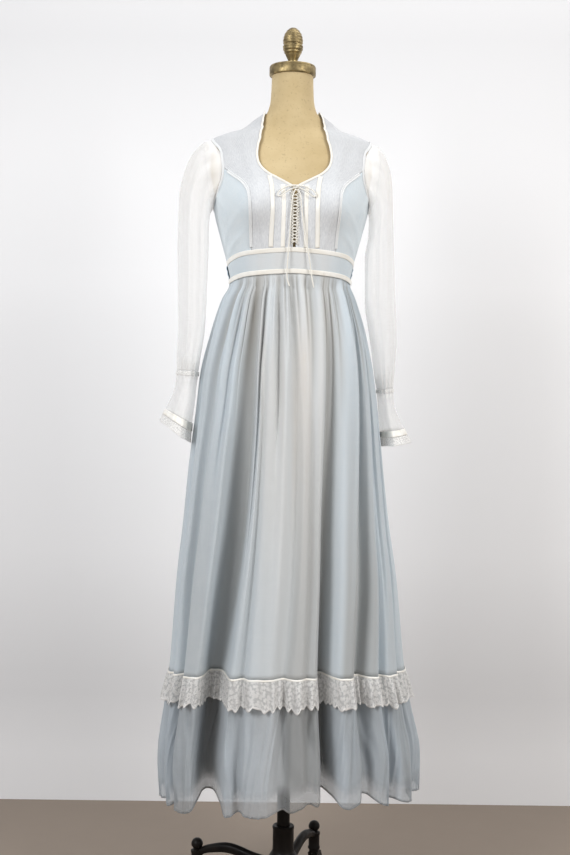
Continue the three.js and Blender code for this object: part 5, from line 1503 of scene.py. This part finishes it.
def makeSash():
    angle = np.linspace(93, 175, 90)
    path = np.stack([angle * perDegree, sashMiddle(angle)], -1)
    for sideName, side in sides:
        strip(f"sash_band_{sideName}", path, sashSet["wide"], sashProfile, "sashVoile", side,
              lift=sashSet["lift"], thick=1.4, wave=sashPleats, columns=18)
        makeSashTail(sideName, side)
    band = float(skin(180.0, sashMiddle(180.0), sashSet["lift"])[1])
    turn = fullTurn(40)[None]
    share = np.linspace(-1, 1, 26)[:, None]
    wrinkle = 1 + 0.05 * np.sin(7 * turn + 2.5 * share) + 0.03 * np.sin(11 * turn + 1)
    size = 1 - 0.34 * np.abs(share) ** 3
    grid = np.stack([
        size * sashSet["knotHalf"] * np.cos(turn) * wrinkle,
        band + sashSet["thick"] + sashSet["knotOut"] + size * sashSet["knotDeep"] * np.sin(turn) * wrinkle,
        sashMiddle(180.0) + share * sashSet["knotHalf"] + 0 * turn], -1)
    core = grid.mean(1, keepdims=True)
    shell("sash_knot", grid, mix(grid, core, 0.35), "sashVoile", ring=True)


def makeSashTail(sideName, side):
    t = np.linspace(0, 1, 70)[:, None]
    s = np.linspace(-1, 1, 15)[None]
    z = sashMiddle(180.0) - sashSet["knotHalf"] - seamGap - t * sashSet["tail"]
    out = skirt["back"](z) + 7.5
    centre = side * mix(9.5, 52 + 8 * (side > 0), t ** 0.8)
    half = smoothColumn([0, 0.25, 1], [7.5, 18, 19])(t)
    bow = 3 * np.sin(t * 6 + side)
    belly = (2.5 + bow) * (1 - np.abs(s)) + 0.7 * np.sin(s * 6 + 4 * t) * (1 - t * 0.5)
    grid = np.stack([centre + half * s, out + belly + 1.4, z + 0 * s], -1)
    shell(f"sash_tail_{sideName}", grid, grid - (0, 1.1, 0), "sashVoile")


makeSash()
print("sash is tied")


# A closed solid through a stack of rings. Edges sharper than the limit stay crisp; flat counts flat caps.
def ringSolid(name, rings, finish, body, replaced=None, limit=50, flat=0):
    rows, around = rings.shape[:2]
    index = np.arange(rows * around).reshape(rows, around)
    turned = np.roll(index, -1, 1)
    quads = np.stack([index[:-1], turned[:-1], turned[1:], index[1:]], -1).reshape(-1, 4).tolist()
    faces = quads + [index[0][::-1].tolist(), index[-1].tolist()]
    made = makeMesh(name, rings.reshape(-1, 3), faces, finish, body, flat=flat, replaced=replaced)
    made.data.set_sharp_from_angle(angle=math.radians(limit))


# A turned piece: radius and height down its profile.
def lathe(name, profile, finish, body, replaced=None, around=64, centre=(0, 0, 0)):
    profile = np.array(profile, float)
    turn = fullTurn(around)[None]
    r, h = profile[:, :1], profile[:, 1:]
    rings = np.stack([r * np.cos(turn), r * np.sin(turn), h + 0 * turn], -1) + np.array(centre, float)
    ringSolid(name, rings, finish, body, replaced, limit=35, flat=2)


# A profile with smooth curves between its points.
def rounded(profile):
    made = roundedPath(profile, 9)
    made[:, 0] = np.maximum(made[:, 0], 0.05)
    return made


formSet = {"rows": 150, "around": 120, "under": 2.4, "shoulder": 10, "shoulderAt": 1607, "shoulderTall": 32}


# The form's own body lies under the cloth, and most of all at the shoulders.
def makeForm():
    z = np.linspace(formBottom, neckTop, formSet["rows"])[:, None]
    angle = np.linspace(0, 360, formSet["around"], endpoint=False)[None]
    shoulder = bell(z - formSet["shoulderAt"], formSet["shoulderTall"]) * np.sin(np.radians(angle)) ** 2
    grid = skin(angle + 0 * z, z + 0 * angle, -(formSet["under"] + formSet["shoulder"] * shoulder))
    grid[..., 2] = z
    ringSolid("form_body", grid, "linen", "figure", limit=35)


capProfile = [(0.1, 0.3), (47, 0.3), (48.2, 1.0), (48.5, 2.4), (48.5, 15.6), (48.1, 16.2), (48.5, 16.9),
              (48.2, 18.6), (46.8, 20.8), (45, 21.5), (0.1, 21.6)]
finialProfile = [(0.1, 0), (11, 0), (11, 5.5), (9.6, 8), (10.2, 12), (15, 22), (19.6, 32), (21, 39),
                 (19.6, 44.5), (19.9, 46.5), (20.8, 50), (20.2, 57), (17.2, 67), (11.5, 75), (5.5, 79.4),
                 (0.1, 80.5)]
groove = {"deep": 0.45, "pitch": 6.5, "from": 20, "to": 28, "core": 8}


def makeMetal():
    lathe("neck_cap", capProfile, "brass", "figure", centre=(0, 0, neckTop))
    egg = rounded(finialProfile)
    cut = np.sin(egg[:, 1] * 2 * math.pi / groove["pitch"])
    upTo = smoothStep(egg[:, 1], groove["from"], groove["to"])
    egg[:, 0] += groove["deep"] * cut * upTo * (egg[:, 0] > groove["core"])
    lathe("finial", egg, "brass", "figure", centre=(0, 0, neckTop + 21.9))
    top = formBottom - seamGap
    lathe("pole", [(0.1, 72), (13.3, 72), (13.3, top), (0.1, top)], "enamel", "mast", around=40)


standSet = {"reach": 197, "turn": 65, "wheel": 23, "trail": 17, "tread": 15}


def onLeg(points, turn):
    c, s = math.cos(turn), math.sin(turn)
    x, y, z = points[..., 0], points[..., 1], points[..., 2]
    return np.stack([x * c - y * s, x * s + y * c, z], -1)


# A leg: distance from the pole, then the height of its middle, how high it is and how wide.
leg = columnsOf([(8, 84, 34, 22), (60, 93, 26, 19), (125, 107, 24, 17), (170, 99, 20, 15), (197, 86, 18, 14)],
                ("middle", "high", "wide"))


# An arched leg with a raised rib along its back, as wide and high as the frame's own leg.
def makeLeg(i, turn):
    x = np.linspace(8, standSet["reach"], 60)[:, None]
    a = fullTurn(28)[None]
    rib = 1 + 0.16 * bell(np.cos(a), 0.28) * (np.sin(a) > 0)
    y = 0.5 * leg["wide"](x) * signedPower(np.cos(a), 0.75)
    z = leg["middle"](x) + 0.42 * leg["high"](x) * signedPower(np.sin(a), 0.8) * rib
    ringSolid(f"leg_{i}", onLeg(np.stack([x + 0 * a, y, z], -1), turn), "enamel", "stand")


hubProfile = [(14, 46), (29, 46), (31.5, 49), (32, 54), (31, 60), (31, 100), (30, 108), (27, 114),
              (23.5, 119), (22.4, 124), (22, 130), (22, 166), (22.8, 167.5), (22.8, 171), (21, 173),
              (14.2, 173), (14, 46)]
bossProfile = [(5.6, 56), (12.4, 56), (13.6, 58), (13.6, 61), (12.2, 64), (12.2, 86), (13.4, 89), (13.4, 93),
               (9, 95.5), (6.4, 97), (9.5, 99), (12, 102.5), (12.7, 106.5), (11.8, 111), (9, 115.4), (5, 118),
               (0.1, 118.8)]
stemProfile = [(0.1, 88), (4.4, 88), (4.8, 87), (4.8, 56), (9, 55.6), (10.8, 54.6), (11, 52), (10.4, 49),
               (8, 47.6), (0.1, 47.6)]
wheelProfile = [(4, -7.3), (7.4, -7.3), (8, -6.4), (9.4, -5.2), (15.5, -5.2), (17, -6.6), (19.8, -7.2),
                (21.6, -6.4), (22.5, -4), (22.55, 0), (22.5, 4), (21.6, 6.4), (19.8, 7.2), (17, 6.6),
                (15.5, 5.2), (9.4, 5.2), (8, 6.4), (7.4, 7.3), (4, 7.3), (4, -7.3)]
axleProfile = [(0.1, -10.6), (3.2, -10.6), (3.8, -10), (3.8, 10), (3.2, 10.6), (0.1, 10.6)]


# Rings turned about a level axle: radius and place along it.
def aboutAxle(profile):
    rows = np.array(profile, float)
    spin = fullTurn(56)[None]
    return np.stack([rows[:, :1] * np.cos(spin), rows[:, 1:] + 0 * spin, rows[:, :1] * np.sin(spin)], -1)


def makeCheek(y):
    t = np.linspace(0, 1, 26)[:, None]
    a = fullTurn(20)[None]
    x = mix(0, standSet["trail"], smoothStep(t, 0.1, 0.95))
    z = mix(50.5, standSet["wheel"], t)
    foot = np.sqrt(np.clip(1 - np.clip((t - 0.8) / 0.34, 0, 1) ** 2, 0, 1))
    half = mix(10.5, 7.2, smoothStep(t, 0, 0.8)) * foot
    out = mix(y * 0.82, y, smoothStep(t, 0, 0.3))
    return np.stack([x + half * signedPower(np.cos(a), 0.7), out + 1.7 * signedPower(np.sin(a), 0.7),
                     z - 5 * t ** 6 + 0 * a], -1)


def makeBridge():
    across = np.linspace(-1, 1, 24)[:, None]
    a = fullTurn(20)[None]
    return np.stack([4 + 12.5 * signedPower(np.cos(a), 0.6) + 0 * across,
                     across * (standSet["tread"] / 2 + 4.2) + 0 * a,
                     49.2 + 1.8 * signedPower(np.sin(a), 0.7) - 2.2 * np.abs(across) ** 4], -1)


def makeCastor(i, turn, centre):
    fork = f"fork_{i}"
    lathe(f"fork_stem_{i}", stemProfile, "enamel", fork, (f"castor_fork_{i}",), 32, centre)
    for label, side in (("a", 1), ("b", -1)):
        cheek = makeCheek(side * (standSet["tread"] / 2 + 2.75))
        ringSolid(f"fork_cheek_{i}{label}", onLeg(cheek, turn) + np.array(centre), "enamel", fork)
    ringSolid(f"fork_bridge_{i}", onLeg(makeBridge(), turn) + np.array(centre), "enamel", fork)
    axleHeight = standSet["wheel"] * math.cos(math.pi / 16)  # the frame's wheel stands on one of its 16 flats
    hubPlace = np.array(centre) + onLeg(np.array([standSet["trail"], 0.0, axleHeight]), turn)
    ringSolid(f"wheel_{i}_turned", onLeg(aboutAxle(wheelProfile), turn) + hubPlace, "rubber",
              f"wheel_{i}", (f"castor_wheel_{i}",))
    ringSolid(f"axle_{i}", onLeg(aboutAxle(axleProfile), turn) + hubPlace, "brass", fork)


def makeStand():
    lathe("stand_hub", hubProfile, "enamel", "stand", ("stand_base",))
    for i in range(4):
        turn = math.radians(standSet["turn"] + 90 * i)
        centre = (standSet["reach"] * math.cos(turn), standSet["reach"] * math.sin(turn), 0)
        makeLeg(i + 1, turn)
        lathe(f"boss_{i + 1}", bossProfile, "enamel", "stand", around=40, centre=centre)
        makeCastor(i + 1, turn, centre)


makeForm()
makeMetal()
makeStand()
print("form and stand are dressed")
